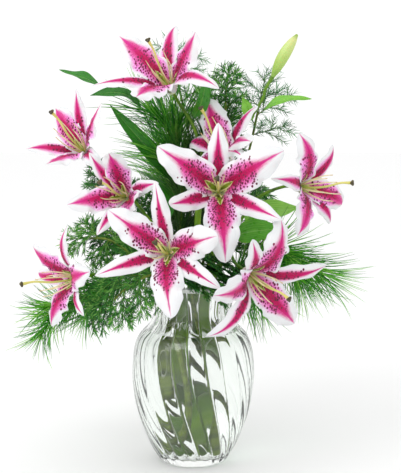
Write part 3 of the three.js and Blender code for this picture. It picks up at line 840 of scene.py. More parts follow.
def tepalMaterial(name, look):
    material, tree = newMaterial(name)
    uv, along, off = mapPlaces(tree)
    wander = noiseOf(tree, uv, 1.0, 3.0, (9, 5, 1))
    streak = noiseOf(tree, uv, 1.0, 4.0, (5, 70, 1), 0.6)
    shifted = strayed(tree, strayed(tree, off, wander, 0.26, -0.13), streak, 0.24, -0.12)

    # the pink halo, the crimson band in it and the line along its middle
    widen = times(tree, layerOf(tree, "flush"), curveOf(tree, along, look["flushed"]))
    haloWidth = added(tree, curveOf(tree, along, look["halo"]), widen)
    halo = smoothStep(tree, lessBy(tree, haloWidth, shifted), -0.10, 0.30)
    halo = times(tree, halo, smoothStep(tree, shifted, 0.78, 1.0, 1.0, 0.0))
    coreWidth = added(tree, curveOf(tree, along, look["core"]), times(tree, widen, 0.25))
    core = smoothStep(tree, lessBy(tree, coreWidth, shifted), -0.10, 0.14)
    lineWidth = added(tree, curveOf(tree, along, look["line"]), times(tree, widen, 0.12))
    line = smoothStep(tree, lessBy(tree, lineWidth, off), -0.05, 0.05)

    white = blendColours(tree, streak, (214, 214, 217), (242, 243, 244))
    fleck = smoothStep(tree, noiseOf(tree, uv, 1.0, 3.0, (46, 26, 1), 0.6), 0.40, 0.62)
    nearCore = smoothStep(tree, off, 0.80, 0.22)
    paleHalo = blendColours(tree, fleck, (246, 176, 234), (230, 98, 198))
    deepHalo = blendColours(tree, fleck, (222, 50, 152), (184, 4, 98))
    haloColour = blendColours(tree, nearCore, paleHalo, deepHalo)
    colour = blendColours(tree, times(tree, halo, look["haloStrength"]), white, haloColour)
    coreColour = rampOf(tree, strayed(tree, along, streak, 0.3, -0.15), [
        (0.1, (112, 0, 32)), (0.32, (148, 0, 50)), (0.6, (182, 2, 84)), (0.9, (212, 46, 156)),
    ])
    plain = sums(tree, "MULTIPLY_ADD", fleck, -0.35, 0.35)
    coreColour = blendColours(tree, plain, coreColour, (216, 30, 120))
    colour = blendColours(tree, core, colour, coreColour)
    colour = blendColours(tree, times(tree, line, 0.9), colour, coreColour)

    # the honey guide: a green groove with pale yellow sides, on the white of the throat
    colour = blendColours(tree, smoothStep(tree, along, 0.03, 0.115, 1.0, 0.0), colour, (240, 240, 222))
    guide = curveOf(tree, along, look["guide"])
    rim = smoothStep(tree, lessBy(tree, times(tree, guide, 1.7), off), 0.0, 0.08)
    colour = blendColours(tree, rim, colour, (232, 232, 176))
    groove = smoothStep(tree, lessBy(tree, guide, off), 0.0, 0.05)
    colour = blendColours(tree, groove, colour, (140, 168, 52))

    # the outside: white with a rosy breath along its green midrib
    blush = smoothStep(tree, added(tree, off, times(tree, along, 0.5)), 0.1, 0.75, 0.34, 0.0)
    outside = blendColours(tree, blush, white, (238, 150, 190))
    midrib = smoothStep(tree, added(tree, off, times(tree, along, 0.10)), 0.05, 0.17, 0.7, 0.0)
    outside = blendColours(tree, midrib, outside, (196, 214, 150))
    colour = blendColours(tree, layerOf(tree, "inner"), outside, colour)

    relief = added(tree, times(tree, veinsOf(tree, uv, 7.0, 1.2, 2.0), 0.5), streak)
    return dress(material, Base_Color=colour, Normal=bumpOf(tree, relief, 0.35, 0.5 * mm),
                 Roughness=smoothStep(tree, streak, 0.3, 0.7, 0.42, 0.58), Subsurface_Weight=0.12,
                 Subsurface_Radius=(1.0, 0.6, 0.6), Subsurface_Scale=1.5 * mm, Specular_IOR_Level=0.25)


# how wide each colour is along the tepal, as places along it and shares of its half width
petalLook = {
    "halo": [(0.0, 0.3), (0.1, 0.66), (0.3, 0.78), (0.52, 0.60), (0.66, 0.10), (0.78, 0.0)],
    "core": [(0.0, 0.0), (0.12, 0.08), (0.28, 0.27), (0.48, 0.20), (0.62, 0.04), (0.8, 0.0)],
    "line": [(0.0, 0.0), (0.12, 0.08), (0.5, 0.13), (0.72, 0.07), (0.88, 0.0)],
    "guide": [(0.0, 0.30), (0.14, 0.22), (0.26, 0.07), (0.31, 0.0)],
    "flushed": [(0.0, 0.05), (0.2, 0.25), (0.5, 0.45), (0.7, 0.62), (0.85, 0.40), (1.0, 0.05)],
    "haloStrength": 0.95,
}
sepalLook = {
    "halo": [(0.0, 0.3), (0.1, 0.5), (0.25, 0.66), (0.5, 0.46), (0.7, 0.12), (0.85, 0.0)],
    "core": [(0.0, 0.1), (0.12, 0.36), (0.32, 0.52), (0.52, 0.34), (0.72, 0.10), (0.88, 0.0)],
    "line": [(0.0, 0.0), (0.1, 0.10), (0.6, 0.18), (0.85, 0.08), (0.95, 0.0)],
    "guide": [(0.0, 0.22), (0.08, 0.12), (0.14, 0.0)],
    "flushed": [(0.0, 0.05), (0.2, 0.20), (0.5, 0.42), (0.72, 0.50), (0.88, 0.25), (1.0, 0.0)],
    "haloStrength": 0.85,
}


def papillaMaterial():
    material, tree = newMaterial("darkPapilla")
    mottle = noiseOf(tree, objectPlace(tree), 220.0, 2.0)
    return dress(material, Base_Color=rampOf(tree, mottle, [(0.35, (84, 0, 40)), (0.7, (138, 8, 76))]),
                 Roughness=0.42, Normal=bumpOf(tree, mottle, 0.2, 0.1 * mm))


def spotTree():
    # flat beads scattered where the skin is spotty
    tree, given, result = newTree("papillae", {
        "Spots": ("Float", 200000.0), "Gap": ("Float", 0.0015), "Size": ("Float", 0.0006),
        "Seed": ("Int", 1), "Material": ("Material", None),
    })
    scatter = put(tree, "GeometryNodeDistributePointsOnFaces", {"distribute_method": "POISSON"},
                  Mesh=given["Geometry"], Distance_Min=given["Gap"], Density_Max=given["Spots"],
                  Density_Factor=namedLayer(tree, "spotty"), Seed=given["Seed"])
    ball = put(tree, "GeometryNodeMeshUVSphere", Segments=7, Rings=4, Radius=1.0)
    flat = put(tree, "GeometryNodeTransform", Geometry=ball, Scale=(1.0, 1.3, 0.28))
    size = times(tree, randomValue(tree, 0.65, 1.3, given["Seed"]), given["Size"])
    copies = put(tree, "GeometryNodeInstanceOnPoints", Points=scatter, Instance=flat,
                 Rotation=scatter.outputs["Rotation"], Scale=size)
    return finishTree(tree, result, paintedMesh(tree, copies, given["Material"]), given["Geometry"])


def buildBlooms():
    shape = tepalShape
    papilla, spots = papillaMaterial(), spotTree()
    whorls = (
        ("petals", 0, tepalMaterial("petalSkin", petalLook), shape["whorlHeight"] + 0.4 * mm),
        ("sepals", 1, tepalMaterial("sepalSkin", sepalLook), 0.0),
    )
    for number, (name, bloom) in enumerate(blooms.items()):
        rng = np.random.default_rng(100 + number)
        for kind, first, skin, start in whorls:
            parts = [tepalPart(bloom, index, rng) for index in (first, first + 2, first + 4)]
            radius = shape[kind[:-1] + "Seat"] + 0.6 * mm
            parts.append(whorlDisc(bloom, radius, start, shape["whorlHeight"]))
            piece = pieceFrom(kind + "." + name, parts, [skin, papilla])
            grow(piece, spots, {**spotLook, "Seed": 10 + number, "Material": papilla})
            finishPiece(piece, kind[:-1], kind + "_" + name)
    print("blooms built:", len(blooms))


pistilLook = {
    "start": 5.6 * mm, "styleLength": 74 * mm, "styleRadius": 1.15 * mm, "stigmaRadius": 2.9 * mm,
    "ovaryRadius": 1.9 * mm, "filamentLength": 46 * mm, "filamentRadius": 0.95 * mm,
    "filamentSpread": 0.26,
}


def simpleSkin(name, stops, scale=90.0, bump=0.25):
    material, tree = newMaterial(name)
    place = objectPlace(tree)
    mottle = noiseOf(tree, place, scale, 4.0, (1, 1, 1))
    relief = noiseOf(tree, place, scale * 4, 2.0)
    return dress(material, Base_Color=rampOf(tree, mottle, stops),
                 Normal=bumpOf(tree, relief, bump, 0.3 * mm),
                 Roughness=smoothStep(tree, mottle, 0.3, 0.7, 0.35, 0.5))


def lengthSkin(name, stops, mottleShare=0.12):
    # a skin whose colour runs along the piece
    material, tree = newMaterial(name)
    mottle = noiseOf(tree, objectPlace(tree), 140.0, 3.0)
    shifted = strayed(tree, mapPlaces(tree)[1], mottle, mottleShare, -mottleShare / 2)
    return dress(material, Base_Color=rampOf(tree, shifted, stops),
                 Normal=bumpOf(tree, mottle, 0.2, 0.2 * mm),
                 Roughness=smoothStep(tree, mottle, 0.3, 0.7, 0.32, 0.48), Subsurface_Weight=0.1,
                 Subsurface_Scale=1.0 * mm)


def styleParts(bloom, start, rng):
    # the style with the ovary at its foot, and the stigma on its tip
    look = pistilLook
    axis, up, right = bloomFrame(bloom)
    tip = start + axis * (look["styleLength"] - look["start"]) + up * 4 * mm
    sway = right * rng.uniform(-2, 2) * mm
    way = [start, start + axis * 14 * mm - up * 1.0 * mm, (start + tip) / 2 - up * 2 * mm + sway,
           tip - axis * 14 * mm + sway * 0.5, tip]
    line = centripetal(way, 9)
    share = np.linspace(0, 1, len(line))
    ovary = look["ovaryRadius"] * (1 - ease(0.16, 0.26, share))
    radii = np.maximum(look["styleRadius"] * (1 + 0.55 * ease(0.8, 1.0, share)), ovary)
    head = line[-1] + np.linspace(-0.6, 2.6, 8)[:, None] * mm * unit(line[-1] - line[-3])
    swell = look["stigmaRadius"] * np.array([0.52, 0.72, 0.92, 1.0, 1.0, 0.9, 0.66, 0.3])
    return [tubePart(line, radii, 14, 0, 3, 0.05), tubePart(head, swell, 21, 1, 3, 0.2)]


def filamentPart(bloom, index, start, rng):
    look = pistilLook
    axis = bloomFrame(bloom)[0]
    out = clockWay(bloom, 30 - 60 * index + rng.uniform(-8, 8))
    length = look["filamentLength"] * rng.uniform(0.9, 1.05)
    spread = look["filamentSpread"] * rng.uniform(0.75, 1.15)
    foot = start + axis * 1.0 * mm + out * 1.6 * mm
    stretches = ((0, 0), (0.35, 0.55), (0.72, 0.95), (0.98, 1.02))
    path = centripetal([foot + axis * length * a + out * length * spread * b for a, b in stretches], 6)
    return tubePart(path, look["filamentRadius"] * (1 - 0.55 * np.linspace(0, 1, len(path))), 8, 2)


def buildPistils():
    skins = [
        lengthSkin("paleStyle", [(0.0, (150, 178, 78)), (0.25, (192, 204, 104)), (0.75, (222, 220, 130)),
                                 (1.0, (214, 206, 110))]),
        simpleSkin("brownStigma", [(0.3, (36, 30, 14)), (0.55, (72, 62, 26)), (0.8, (128, 112, 52))],
                   260.0, 0.5),
        lengthSkin("paleFilament", [(0.0, (206, 216, 128)), (0.4, (232, 232, 172)), (0.9, (238, 232, 190)),
                                    (1.0, (206, 176, 110))]),
    ]
    for number, (name, bloom) in enumerate(blooms.items()):
        rng = np.random.default_rng(300 + number)
        start = planned(bloom["at"]) + bloomFrame(bloom)[0] * pistilLook["start"]
        parts = styleParts(bloom, start, rng)
        parts += [filamentPart(bloom, index, start, rng) for index in range(6)]
        finishPiece(pieceFrom("pistil." + name, parts, skins, 50), "pistil", "pistil_" + name)
    print("styles and pollen stalks built")


budLook = {
    "rows": 34, "sides": 48, "sag": (-1.2, 0, 0.6),
    "shares": [0, 0.04, 0.15, 0.35, 0.55, 0.75, 0.9, 0.97, 1.0],
    "radii": [2.1, 2.6, 4.6, 6.3, 6.6, 5.6, 3.6, 2.0, 0.9],
}


def buildBud():
    look = budLook
    rows, sides = look["rows"], look["sides"]
    skin = lengthSkin("budSkin", [(0.0, (128, 166, 66)), (0.2, (160, 192, 88)), (0.6, (186, 208, 118)),
                                  (0.9, (206, 214, 140)), (1.0, (150, 176, 80))], 0.3)
    base, tip = planned(bud["base"]), planned(bud["tip"])
    share = np.linspace(0, 1, rows)
    sag = np.sin(share * math.pi)[:, None] * np.array(look["sag"]) * mm
    line = base + share[:, None] * (tip - base) + sag
    radii = np.interp(share, look["shares"], np.array(look["radii"]) * mm)
    radii = np.convolve(np.pad(radii, 2, mode="edge"), np.ones(5) / 5, "valid")
    whole = tubePart(line, radii, sides)
    places = whole["vertices"][: rows * sides].reshape(rows, sides, 3)
    angles = np.linspace(0, fullTurn, sides, endpoint=False)
    seams = 0.10 * np.abs(np.cos(1.5 * angles)) ** 0.5 + 0.05 * np.cos(6 * angles) - 0.06
    depth = np.sin(share * math.pi) ** 0.5
    places += (places - line[:, None, :]) * (seams[None, :] * depth[:, None])[..., None]
    finishPiece(pieceFrom("bud.closed", [whole], [skin], 50), "bud", "bud")
    print("bud built")


leafLook = {"rows": 34, "columns": 13, "thickness": 0.55 * mm, "fold": 0.24, "wave": 1.2 * mm}
leafTints = {
    "leaf_upper_left": 0.32, "leaf_far_left": 0.3, "leaf_behind_crown": 0.2, "leaf_crown": 0.35,
    "leaf_bud_left": 0.8, "leaf_bud_right": 0.78, "leaf_right": 0.86, "leaf_lower_right": 0.56,
    "leaf_lower_left": 0.3, "leaf_back_left": 0.3, "leaf_back_right": 0.4, "leaf_back_top": 0.35,
}


def leafMaterial():
    material, tree = newMaterial("lilyLeaf")
    uv, along, off = mapPlaces(tree)
    streak = noiseOf(tree, uv, 1.0, 4.0, (4, 60, 1), 0.6)
    patch = noiseOf(tree, uv, 1.0, 3.0, (5, 3, 1))
    veins = veinsOf(tree, uv, 3.4, 0.4, 1.0)
    level = strayed(tree, layerOf(tree, "tint"), streak, 0.30, -0.15)
    level = strayed(tree, strayed(tree, level, patch, 0.36, -0.18), veins, 0.07, -0.03)
    colour = rampOf(tree, level, [
        (0.0, (10, 78, 6)), (0.3, (34, 124, 10)), (0.6, (84, 168, 26)), (1.0, (152, 210, 80)),
    ])
    colour = blendColours(tree, smoothStep(tree, off, 0.02, 0.08, 0.35, 0.0), colour, (150, 196, 104))
    under = blendColours(tree, 0.45, colour, (150, 184, 130))
    relief = added(tree, times(tree, veins, 0.8), streak)
    return dress(material, Base_Color=blendColours(tree, layerOf(tree, "inner"), under, colour),
                 Normal=bumpOf(tree, relief, 0.5, 0.4 * mm),
                 Roughness=smoothStep(tree, patch, 0.35, 0.65, 0.26, 0.42),
                 Subsurface_Weight=0.06, Subsurface_Scale=1.0 * mm)


def leafPlace(node):
    # base, tip, the way its arch rises and how wide it is, read from the CAD leaf
    places = nodeVertices(node)
    gaps = np.linalg.norm(places[:, None] - places[None], axis=2)
    a, b = np.unravel_index(gaps.argmax(), gaps.shape)
    mouth = np.array([0, 0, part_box("vase")[1].z])
    base, tip = sorted((places[a], places[b]), key=lambda place: np.linalg.norm(place - mouth))
    along = unit(tip - base)
    share = (places - base) @ along / np.linalg.norm(tip - base)
    middle = places[(share > 0.35) & (share < 0.65)]
    offsets = middle - base - ((middle - base) @ along)[:, None] * along
    up = unit(offsets.mean(0))
    half = np.abs((places - base) @ np.cross(up, along)).max()
    return base, tip, up, np.cross(up, along), half, (offsets @ up).min()


def leafPart(node, rng):
    look = leafLook
    base, tip, up, side, half, arch = leafPlace(node)
    t = np.linspace(0, 1, look["rows"])
    v = np.linspace(-1, 1, look["columns"])[None, :]
    hump = np.sin(math.pi * t)
    length = np.linalg.norm(tip - base)
    bend = rng.uniform(-0.04, 0.04) * length
    points = base + t[:, None] * (tip - base)
    points = points + (arch * hump + 0.02 * length * np.sin(2 * math.pi * t))[:, None] * up
    points = points + (bend * hump)[:, None] * side
    ways = np.gradient(points, axis=0)
    ways /= np.linalg.norm(ways, axis=1, keepdims=True)
    faces = np.array([squareTo(way, up) for way in ways])
    sides = np.cross(faces, ways)
    twist = np.radians(rng.uniform(-22, 22)) * (t - 0.3)
    sides, faces = (np.cos(twist)[:, None] * sides + np.sin(twist)[:, None] * faces,
                    -np.sin(twist)[:, None] * sides + np.cos(twist)[:, None] * faces)
    halfWidth = half * np.maximum(np.sin(math.pi * (0.05 + 0.95 * t**0.82)) ** 0.85, 0.03)
    wave = np.sin(2 * math.pi * (1.6 * t[:, None] + rng.uniform()) + 1.3 * np.sign(v)) * np.abs(v) ** 2
    lift = look["fold"] * halfWidth[:, None] * np.abs(v) ** 1.15 + look["wave"] * wave * hump[:, None]
    lift = lift - 0.5 * mm * np.exp(-((v / 0.07) ** 2)) * hump[:, None]
    thick = np.full(lift.shape, look["thickness"]) * (1 - 0.5 * np.abs(v))
    return shellBlade(points, -sides, faces, halfWidth, lift, thick)


def buildLeaves():
    material = leafMaterial()
    for number, (node, tint) in enumerate(leafTints.items()):
        part = leafPart(node, np.random.default_rng(500 + number))
        part["POINT"]["tint"] = np.full(len(part["vertices"]), tint)
        piece = pieceFrom("leaf." + node.removeprefix("leaf_"), [part], [material])
        finishPiece(piece, "lily_leaf", node)
    print("leaves built:", len(leafTints))


# Each green: where it stands in the neck, the points its twig passes above the rim, and how far its
# needles or side twigs reach and spread. Some also say how many fronds they have and how long those are
# for their reach, how much of the twig has them, which way they hang and how pale they are.
greens = {
    "pine_upper_left": {
        "angle": 130, "through": [(-16, 44, 30), (-14, 58, 120), (-30, 64, 172)], "reach": 82, "spread": 38,
    },
    "pine_top": {
        "angle": 82, "through": [(6, 52, 40), (14, 66, 130), (20, 68, 172)], "reach": 62, "spread": 34,
    },
    "pine_right": {
        "angle": 350, "through": [(56, 10, 18), (90, 8, 34), (121, 6, 14)], "reach": 74, "spread": 32,
    },
    "pine_left": {
        "angle": 198, "through": [(-56, -6, 14), (-112, 12, -20), (-158, 16, -40)], "reach": 52,
        "spread": 44,
    },
    "pine_back": {
        "angle": 100, "through": [(-10, 56, 26), (-20, 92, 70), (-24, 112, 100)], "reach": 80, "spread": 36,
    },
    "cedar_top": {
        "angle": 58, "through": [(28, 46, 40), (34, 62, 130), (36, 50, 192)], "reach": 46, "spread": 34,
        "fronds": 9, "frondReach": 0.6,
    },
    "cedar_left": {
        "angle": 170, "through": [(-56, 14, 16), (-92, 18, 42), (-112, 20, 44)], "reach": 34, "spread": 50,
        "pale": 0.35,
    },
    "cedar_lower_left": {
        "angle": 222, "through": [(-37, -33, 12), (-64, -42, 4), (-84, -38, -14)], "reach": 40,
        "spread": 40, "pale": 0.2,
    },
    "cedar_middle": {
        "angle": 270, "through": [(0, -38, 6), (8, -40, 22), (16, -38, 36)], "reach": 36, "spread": 46,
        "pull": (0.1, -0.75, -0.45), "fronds": 16, "frondReach": 1.15,
    },
    "cedar_back": {
        "angle": 34, "through": [(34, 42, 22), (44, 80, 56), (48, 104, 84)], "reach": 56, "spread": 46,
    },
    "cedar_back_left": {
        "angle": 146, "through": [(-46, 40, 20), (-74, 66, 50), (-88, 80, 76)], "reach": 60, "spread": 46,
    },
    "fern_top": {
        "angle": 70, "through": [(26, 56, 40), (60, 76, 126), (72, 64, 180)], "reach": 54, "spread": 40,
        "fronds": 4, "clothed": 42,
    },
    "fern_wisp": {
        "angle": 114, "through": [(-6, 50, 40), (-2, 84, 130), (-20, 84, 224)], "reach": 44, "spread": 52,
    },
}
growth = {
    "pine": {
        "Spacing": 0.0026, "Bundle": 5, "Length": 0.070, "Thickness": 0.00078, "Lean": 0.55, "Splay": 0.5,
        "Turn": 2.4, "Bend": 0.14, "Steps": 4,
    },
    "cedar": {
        "Spacing": 0.0024, "Bundle": 2, "Length": 0.0062, "Thickness": 0.00070, "Lean": 0.5, "Splay": 0.5,
        "Turn": 3.14159, "Bend": -0.1, "Steps": 2,
    },
    "fern": {
        "Spacing": 0.0017, "Bundle": 2, "Length": 0.0095, "Thickness": 0.00040, "Lean": 0.85, "Splay": 0.5,
        "Turn": 2.4, "Bend": -0.12, "Steps": 3,
    },
}


def spun(tree, rotation, axis, amount):
    # a rotation turned further about one of its own axes
    angles = put(tree, "ShaderNodeCombineXYZ", **{axis: amount})
    step = put(tree, "FunctionNodeEulerToRotation", Euler=angles)
    return put(tree, "FunctionNodeRotateRotation", {"rotation_space": "LOCAL"}, _0=rotation, _1=step)


def keepLayer(tree, geometry, label, value, kind, domain):
    return put(tree, "GeometryNodeStoreNamedAttribute", {"data_type": kind, "domain": domain},
               Geometry=geometry, Name=label, Value=value)


def foliageTree():
    # twigs as tubes along their edges, with needles in bundles along every leafy stretch
    tree, given, result = newTree("foliage", {
        "Spacing": ("Float", 0.003), "Bundle": ("Int", 5), "Length": ("Float", 0.07),
        "Thickness": ("Float", 0.0004), "Lean": ("Float", 0.6), "Splay": ("Float", 0.4),
        "Turn": ("Float", 2.4), "Bend": ("Float", 0.15), "Steps": ("Int", 5), "Pale": ("Float", 0.0),
        "Seed": ("Int", 1), "Bark": ("Material", None), "Needle": ("Material", None),
    })

    def random(low, high, shift):
        return randomValue(tree, low, high, added(tree, given["Seed"], float(shift)))

    twigs = put(tree, "GeometryNodeMeshToCurve", Mesh=given["Geometry"])
    section = put(tree, "GeometryNodeCurvePrimitiveCircle", Resolution=6, Radius=1.0)
    bark = put(tree, "GeometryNodeCurveToMesh", Curve=twigs, Profile_Curve=section,
               Scale=namedLayer(tree, "thick"), Fill_Caps=True)
    bark = paintedMesh(tree, bark, given["Bark"])

    middle = put(tree, "ShaderNodeCombineXYZ", Z=times(tree, given["Length"], 0.5))
    tip = put(tree, "ShaderNodeCombineXYZ", X=times(tree, given["Length"], given["Bend"]),
              Z=given["Length"])
    needle = put(tree, "GeometryNodeCurveQuadraticBezier", Resolution=given["Steps"],
                 Start=(0.0, 0.0, 0.0), Middle=middle, End=tip)
    along = put(tree, "GeometryNodeSplineParameter").outputs["Factor"]
    taper = sums(tree, "POWER", lessBy(tree, 1.02, along), 0.5)
    three = put(tree, "GeometryNodeCurvePrimitiveCircle", Resolution=3, Radius=1.0)
    solid = put(tree, "GeometryNodeCurveToMesh", Curve=needle, Profile_Curve=three,
                Scale=times(tree, given["Thickness"], taper), Fill_Caps=True)

    spread = put(tree, "GeometryNodeCurveToPoints", {"mode": "LENGTH"}, Curve=twigs,
                 Length=given["Spacing"])
    ways = put(tree, "FunctionNodeAxesToRotation", {"primary_axis": "Z", "secondary_axis": "X"},
               _0=spread.outputs["Tangent"], _1=namedLayer(tree, "plane", "FLOAT_VECTOR"))
    kept = keepLayer(tree, spread, "way", ways, "QUATERNION", "POINT")
    copies = put(tree, "GeometryNodeDuplicateElements", {"domain": "POINT"}, Geometry=kept,
                 Amount=given["Bundle"])
    turnBy = times(tree, put(tree, "GeometryNodeInputIndex").outputs[0], given["Turn"])
    turnBy = added(tree, turnBy, random(times(tree, given["Splay"], -1.0), given["Splay"], 1))
    leanBy = times(tree, given["Lean"], random(0.6, 1.35, 2))
    turned = spun(tree, namedLayer(tree, "way", "QUATERNION"), "Z", turnBy)
    leafy = put(tree, "FunctionNodeCompare", {"data_type": "FLOAT", "operation": "GREATER_THAN"},
                _0=namedLayer(tree, "leafy"), _1=0.3)
    placed = put(tree, "GeometryNodeInstanceOnPoints", Points=copies, Instance=solid, Selection=leafy,
                 Rotation=spun(tree, turned, "Y", leanBy),
                 Scale=times(tree, namedLayer(tree, "leafy"), random(0.72, 1.12, 3)))
    tint = added(tree, random(0.0, 1.0, 4), given["Pale"])
    tinted = keepLayer(tree, placed, "tint", tint, "FLOAT", "INSTANCE")
    return finishTree(tree, result, paintedMesh(tree, tinted, given["Needle"]), bark)


def skeletonPiece(name, lines):
    # lines of points with a thickness, how leafy each point is, and the way that the leaves spread
    vertices, edges, thick, leafy, plane = [], [], [], [], []
    for line in lines:
        start, count = len(vertices), len(line["points"])
        vertices += [tuple(point) for point in line["points"]]
        edges += [(start + i, start + i + 1) for i in range(count - 1)]
        thick += list(np.broadcast_to(line["thick"], (count,)))
        leafy += list(np.broadcast_to(line["leafy"], (count,)))
        plane += [tuple(line["plane"])] * count
    mesh = bpy.data.meshes.new(name)
    mesh.from_pydata(vertices, edges, [])
    fillLayers(mesh, "POINT", {"thick": thick, "leafy": leafy})
    layer = mesh.attributes.new("plane", "FLOAT_VECTOR", "POINT")
    layer.data.foreach_set("vector", np.array(plane, np.float32).ravel())
    return linkPiece(name, mesh)


def sprig(start, way, side, length, thick, rng, droop, steps=9, leafy=1.0):
    # one side twig, sagging a little along its length
    t = np.linspace(0, 1, steps)[:, None]
    wander = rng.normal(0, 0.03, 3)
    points = start + way * length * t + (wander * length + np.array([0, 0, -droop * length])) * t**2
    return {"points": points, "thick": thick * (1 - 0.6 * t[:, 0]), "leafy": leafy, "plane": side}


def placeOn(points, share):
    shares = np.linspace(0, 1, len(points))
    return np.array([np.interp(share, shares, points[:, k]) for k in range(3)])


def frond(start, way, side, length, rng, look):
    # a flat branching spray: a middle twig, side twigs on both sides, and side twigs on those
    droop = look["droop"]
    lines = [sprig(start, way, side, length, look["thick"], rng, droop, 14)]
    spine = lines[0]["points"]
    normal = unit(np.cross(way, side))
    count = max(int(length / look["gap"]), 4)
    for i in range(1, count):
        t = i / count
        hand = 1 if i % 2 else -1
        lean = math.radians(look["angle"] * rng.uniform(0.8, 1.15))
        aside = way * math.cos(lean) + side * hand * math.sin(lean)
        outward = unit(aside + normal * rng.normal(0, look["rough"]))
        reach = length * look["width"] * (1 - t) ** 0.75 * rng.uniform(0.75, 1.15) + look["least"]
        twigSide = squareTo(outward, side)
        twig = sprig(placeOn(spine, t), outward, twigSide, reach, look["thick"] * 0.7, rng, droop, 8)
        lines.append(twig)
        smaller = int(reach / look["subGap"])
        for k in range(1, smaller):
            s = k / smaller
            turn = math.radians(look["angle"] * rng.uniform(0.8, 1.2))
            aside = unit(np.cross(normal, outward)) * (1 if k % 2 else -1)
            onward = unit(outward * math.cos(turn) + aside * math.sin(turn))
            short = (reach * 0.42 * (1 - s) + look["least"] * 0.6) * rng.uniform(0.8, 1.1)
            lines.append(sprig(placeOn(twig["points"], s), onward, unit(np.cross(normal, onward)), short,
                               look["thick"] * 0.5, rng, droop, 4))
    return lines


frondLook = {
    "cedar": {
        "thick": 0.6 * mm, "gap": 5.0 * mm, "subGap": 3.8 * mm, "angle": 42, "width": 0.6, "least": 5 * mm,
        "rough": 0.22, "scatter": 0.35, "droop": 0.12,
    },
    "fern": {
        "thick": 0.7 * mm, "gap": 7.5 * mm, "subGap": 9.0 * mm, "angle": 52, "width": 0.5, "least": 7 * mm,
        "rough": 0.22, "scatter": 0.35, "droop": 0.05,
    },
}

# painted shade: the needles are painted darker towards the heart of the bouquet, where the foliage shades
# them
paintedShadeLook = {
    "middle": (0.016, 0.03, 0.290), "reach": (0.075, 0.085, 0.105), "darkest": 0.78, "colour": (6, 30, 8),
}


def paintedShadeOf(tree, place):
    # painted shade: how much darker the needles are painted, by their distance from the heart of the
    # bouquet
    away = put(tree, "ShaderNodeVectorMath", {"operation": "SUBTRACT"}, _0=place, _1=paintedShadeLook["middle"])
    away = put(tree, "ShaderNodeVectorMath", {"operation": "DIVIDE"}, _0=away, _1=paintedShadeLook["reach"])
    far = put(tree, "ShaderNodeVectorMath", {"operation": "LENGTH"}, _0=away).outputs["Value"]
    return smoothStep(tree, far, 0.55, 1.15, paintedShadeLook["darkest"], 0.0)


def freeOfVase(line):
    # which points of a twig are clear of the mouth, above the rim or out past it
    low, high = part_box("vase")
    return (line[:, 2] > high.z + 3 * mm) | (np.hypot(line[:, 0], line[:, 1]) > high.x + 4 * mm)


def needleSkin(name, stops, roughness=(0.35, 0.55)):
    material, tree = newMaterial(name)
    place = objectPlace(tree)
    patch = noiseOf(tree, place, 34.0, 3.0)
    level = strayed(tree, times(tree, layerOf(tree, "tint"), 0.7), patch, 1.1, -0.4)
    # painted shade: the needle colour is darkened towards the heart of the bouquet
    colour = blendColours(tree, paintedShadeOf(tree, place), rampOf(tree, level, stops), paintedShadeLook["colour"])
    relief = noiseOf(tree, place, 600.0, 1.0)
    return dress(material, Base_Color=colour, Normal=bumpOf(tree, relief, 0.2, 0.1 * mm),
                 Roughness=smoothStep(tree, patch, 0.35, 0.65, *roughness))


def pineLines(green, line, way, side, toTip, rng, settings):
    # the twig itself clothed to where it comes free of the vase, and shoots round its end
    reach = green["reach"] * mm
    settings["Length"] = reach * 0.95
    settings["Lean"] = math.radians(green["spread"]) * 0.75
    clothed = (0.92 - 0.32 * ease(0.085, 0.12, toTip)) * freeOfVase(line)
    lines = [{"points": line, "thick": bouquet["greenRadius"] * 0.9, "leafy": clothed, "plane": side}]
    for k in range(6):
        at = line[np.argmin(np.abs(toTip - (0.012 + 0.017 * k)))]
        turn = 2.1 * k + rng.uniform(0, 1)
        aslant = math.cos(turn) * side + math.sin(turn) * np.cross(way, side)
        outward = unit(way + math.tan(math.radians(green["spread"] * 0.7)) * aslant)
        lines.append(sprig(at, outward, side, 0.030, 1.1 * mm, rng, 0.1, 6, 0.85))
    return lines


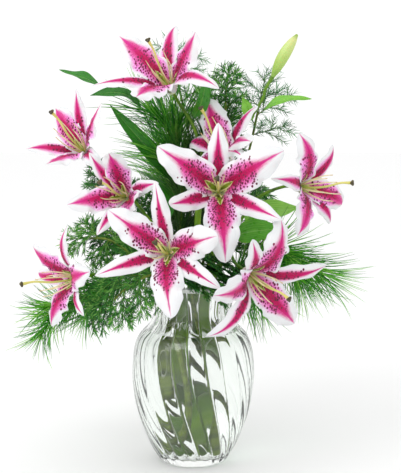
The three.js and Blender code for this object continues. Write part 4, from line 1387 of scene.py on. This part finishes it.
def frondLines(green, line, way, side, toTip, rng, look):
    # a bare twig with a frond on its end and more of them along its free part
    reach = green["reach"] * mm
    lines = [{"points": line, "thick": bouquet["greenRadius"] * 0.9, "leafy": 0.0, "plane": side}]
    normal = unit(np.cross(way, side))
    lines += frond(line[-1] - way * 2 * mm, way, side, reach, rng, look)
    dressed = min(toTip[freeOfVase(line)].max(), green.get("clothed", 92) * mm)
    for k, share in enumerate(np.linspace(0.10, 0.94, green.get("fronds", 7))):
        at = line[np.argmin(np.abs(toTip - share * dressed))]
        hand = 1 if k % 2 else -1
        lean = math.radians(green["spread"] * (1 + 0.5 * share))
        aside = way * math.cos(lean) + hand * side * math.sin(lean)
        outward = aside + normal * rng.normal(0, look["scatter"])
        outward = unit(outward + np.array(green.get("pull", (0, 0, 0))))
        longest = reach * green.get("frondReach", 0.9)
        lines += frond(at, outward, squareTo(outward, side), longest, rng, look)
    return lines


def buildGreens():
    bark = simpleSkin("twigBark", [(0.35, (70, 92, 10)), (0.6, (112, 134, 32))], 180.0, 0.5)
    skins = {
        "pine": needleSkin("pineNeedle", [
            (0.0, (14, 88, 12)), (0.35, (42, 144, 18)), (0.65, (104, 194, 40)), (1.0, (178, 228, 110)),
        ]),
        "cedar": needleSkin("cedarScale", [
            (0.0, (4, 50, 12)), (0.4, (20, 98, 22)), (0.75, (62, 146, 40)), (1.0, (136, 196, 90)),
        ], (0.45, 0.65)),
        "fern": needleSkin("fernLeaflet", [
            (0.0, (14, 84, 38)), (0.4, (36, 128, 62)), (0.75, (84, 168, 96)), (1.0, (140, 200, 132)),
        ]),
    }
    tree = foliageTree()
    for number, (node, green) in enumerate(greens.items()):
        rng = np.random.default_rng(700 + number)
        kind, label = node.split("_", 1)
        points = standing(bouquet["greenRing"], green["angle"], bouquet["greenRadius"])
        line = centripetal(points + [planned(point) for point in green["through"]], 14)
        way = unit(line[-1] - line[-6])
        flat = np.array([1.0, 0, 0]) if abs(way[1]) > 0.8 else np.array([0, 1.0, 0])
        side = unit(np.cross(way, flat))
        lengths = lengthsAlong(line)
        toTip = lengths[-1] - lengths
        settings = {**growth[kind], "Pale": green.get("pale", 0.0), "Seed": 20 + number, "Bark": bark,
                    "Needle": skins[kind]}
        if kind == "pine":
            lines = pineLines(green, line, way, side, toTip, rng, settings)
        else:
            lines = frondLines(green, line, way, side, toTip, rng, frondLook[kind])
        piece = grow(skeletonPiece(kind + "Spray." + label, lines), tree, settings)
        finishPiece(piece, kind, node)
    print("greens built:", len(greens))


buildStudio()
buildVase()
buildStems()
buildBlooms()
buildPistils()
buildBud()
buildLeaves()
buildGreens()
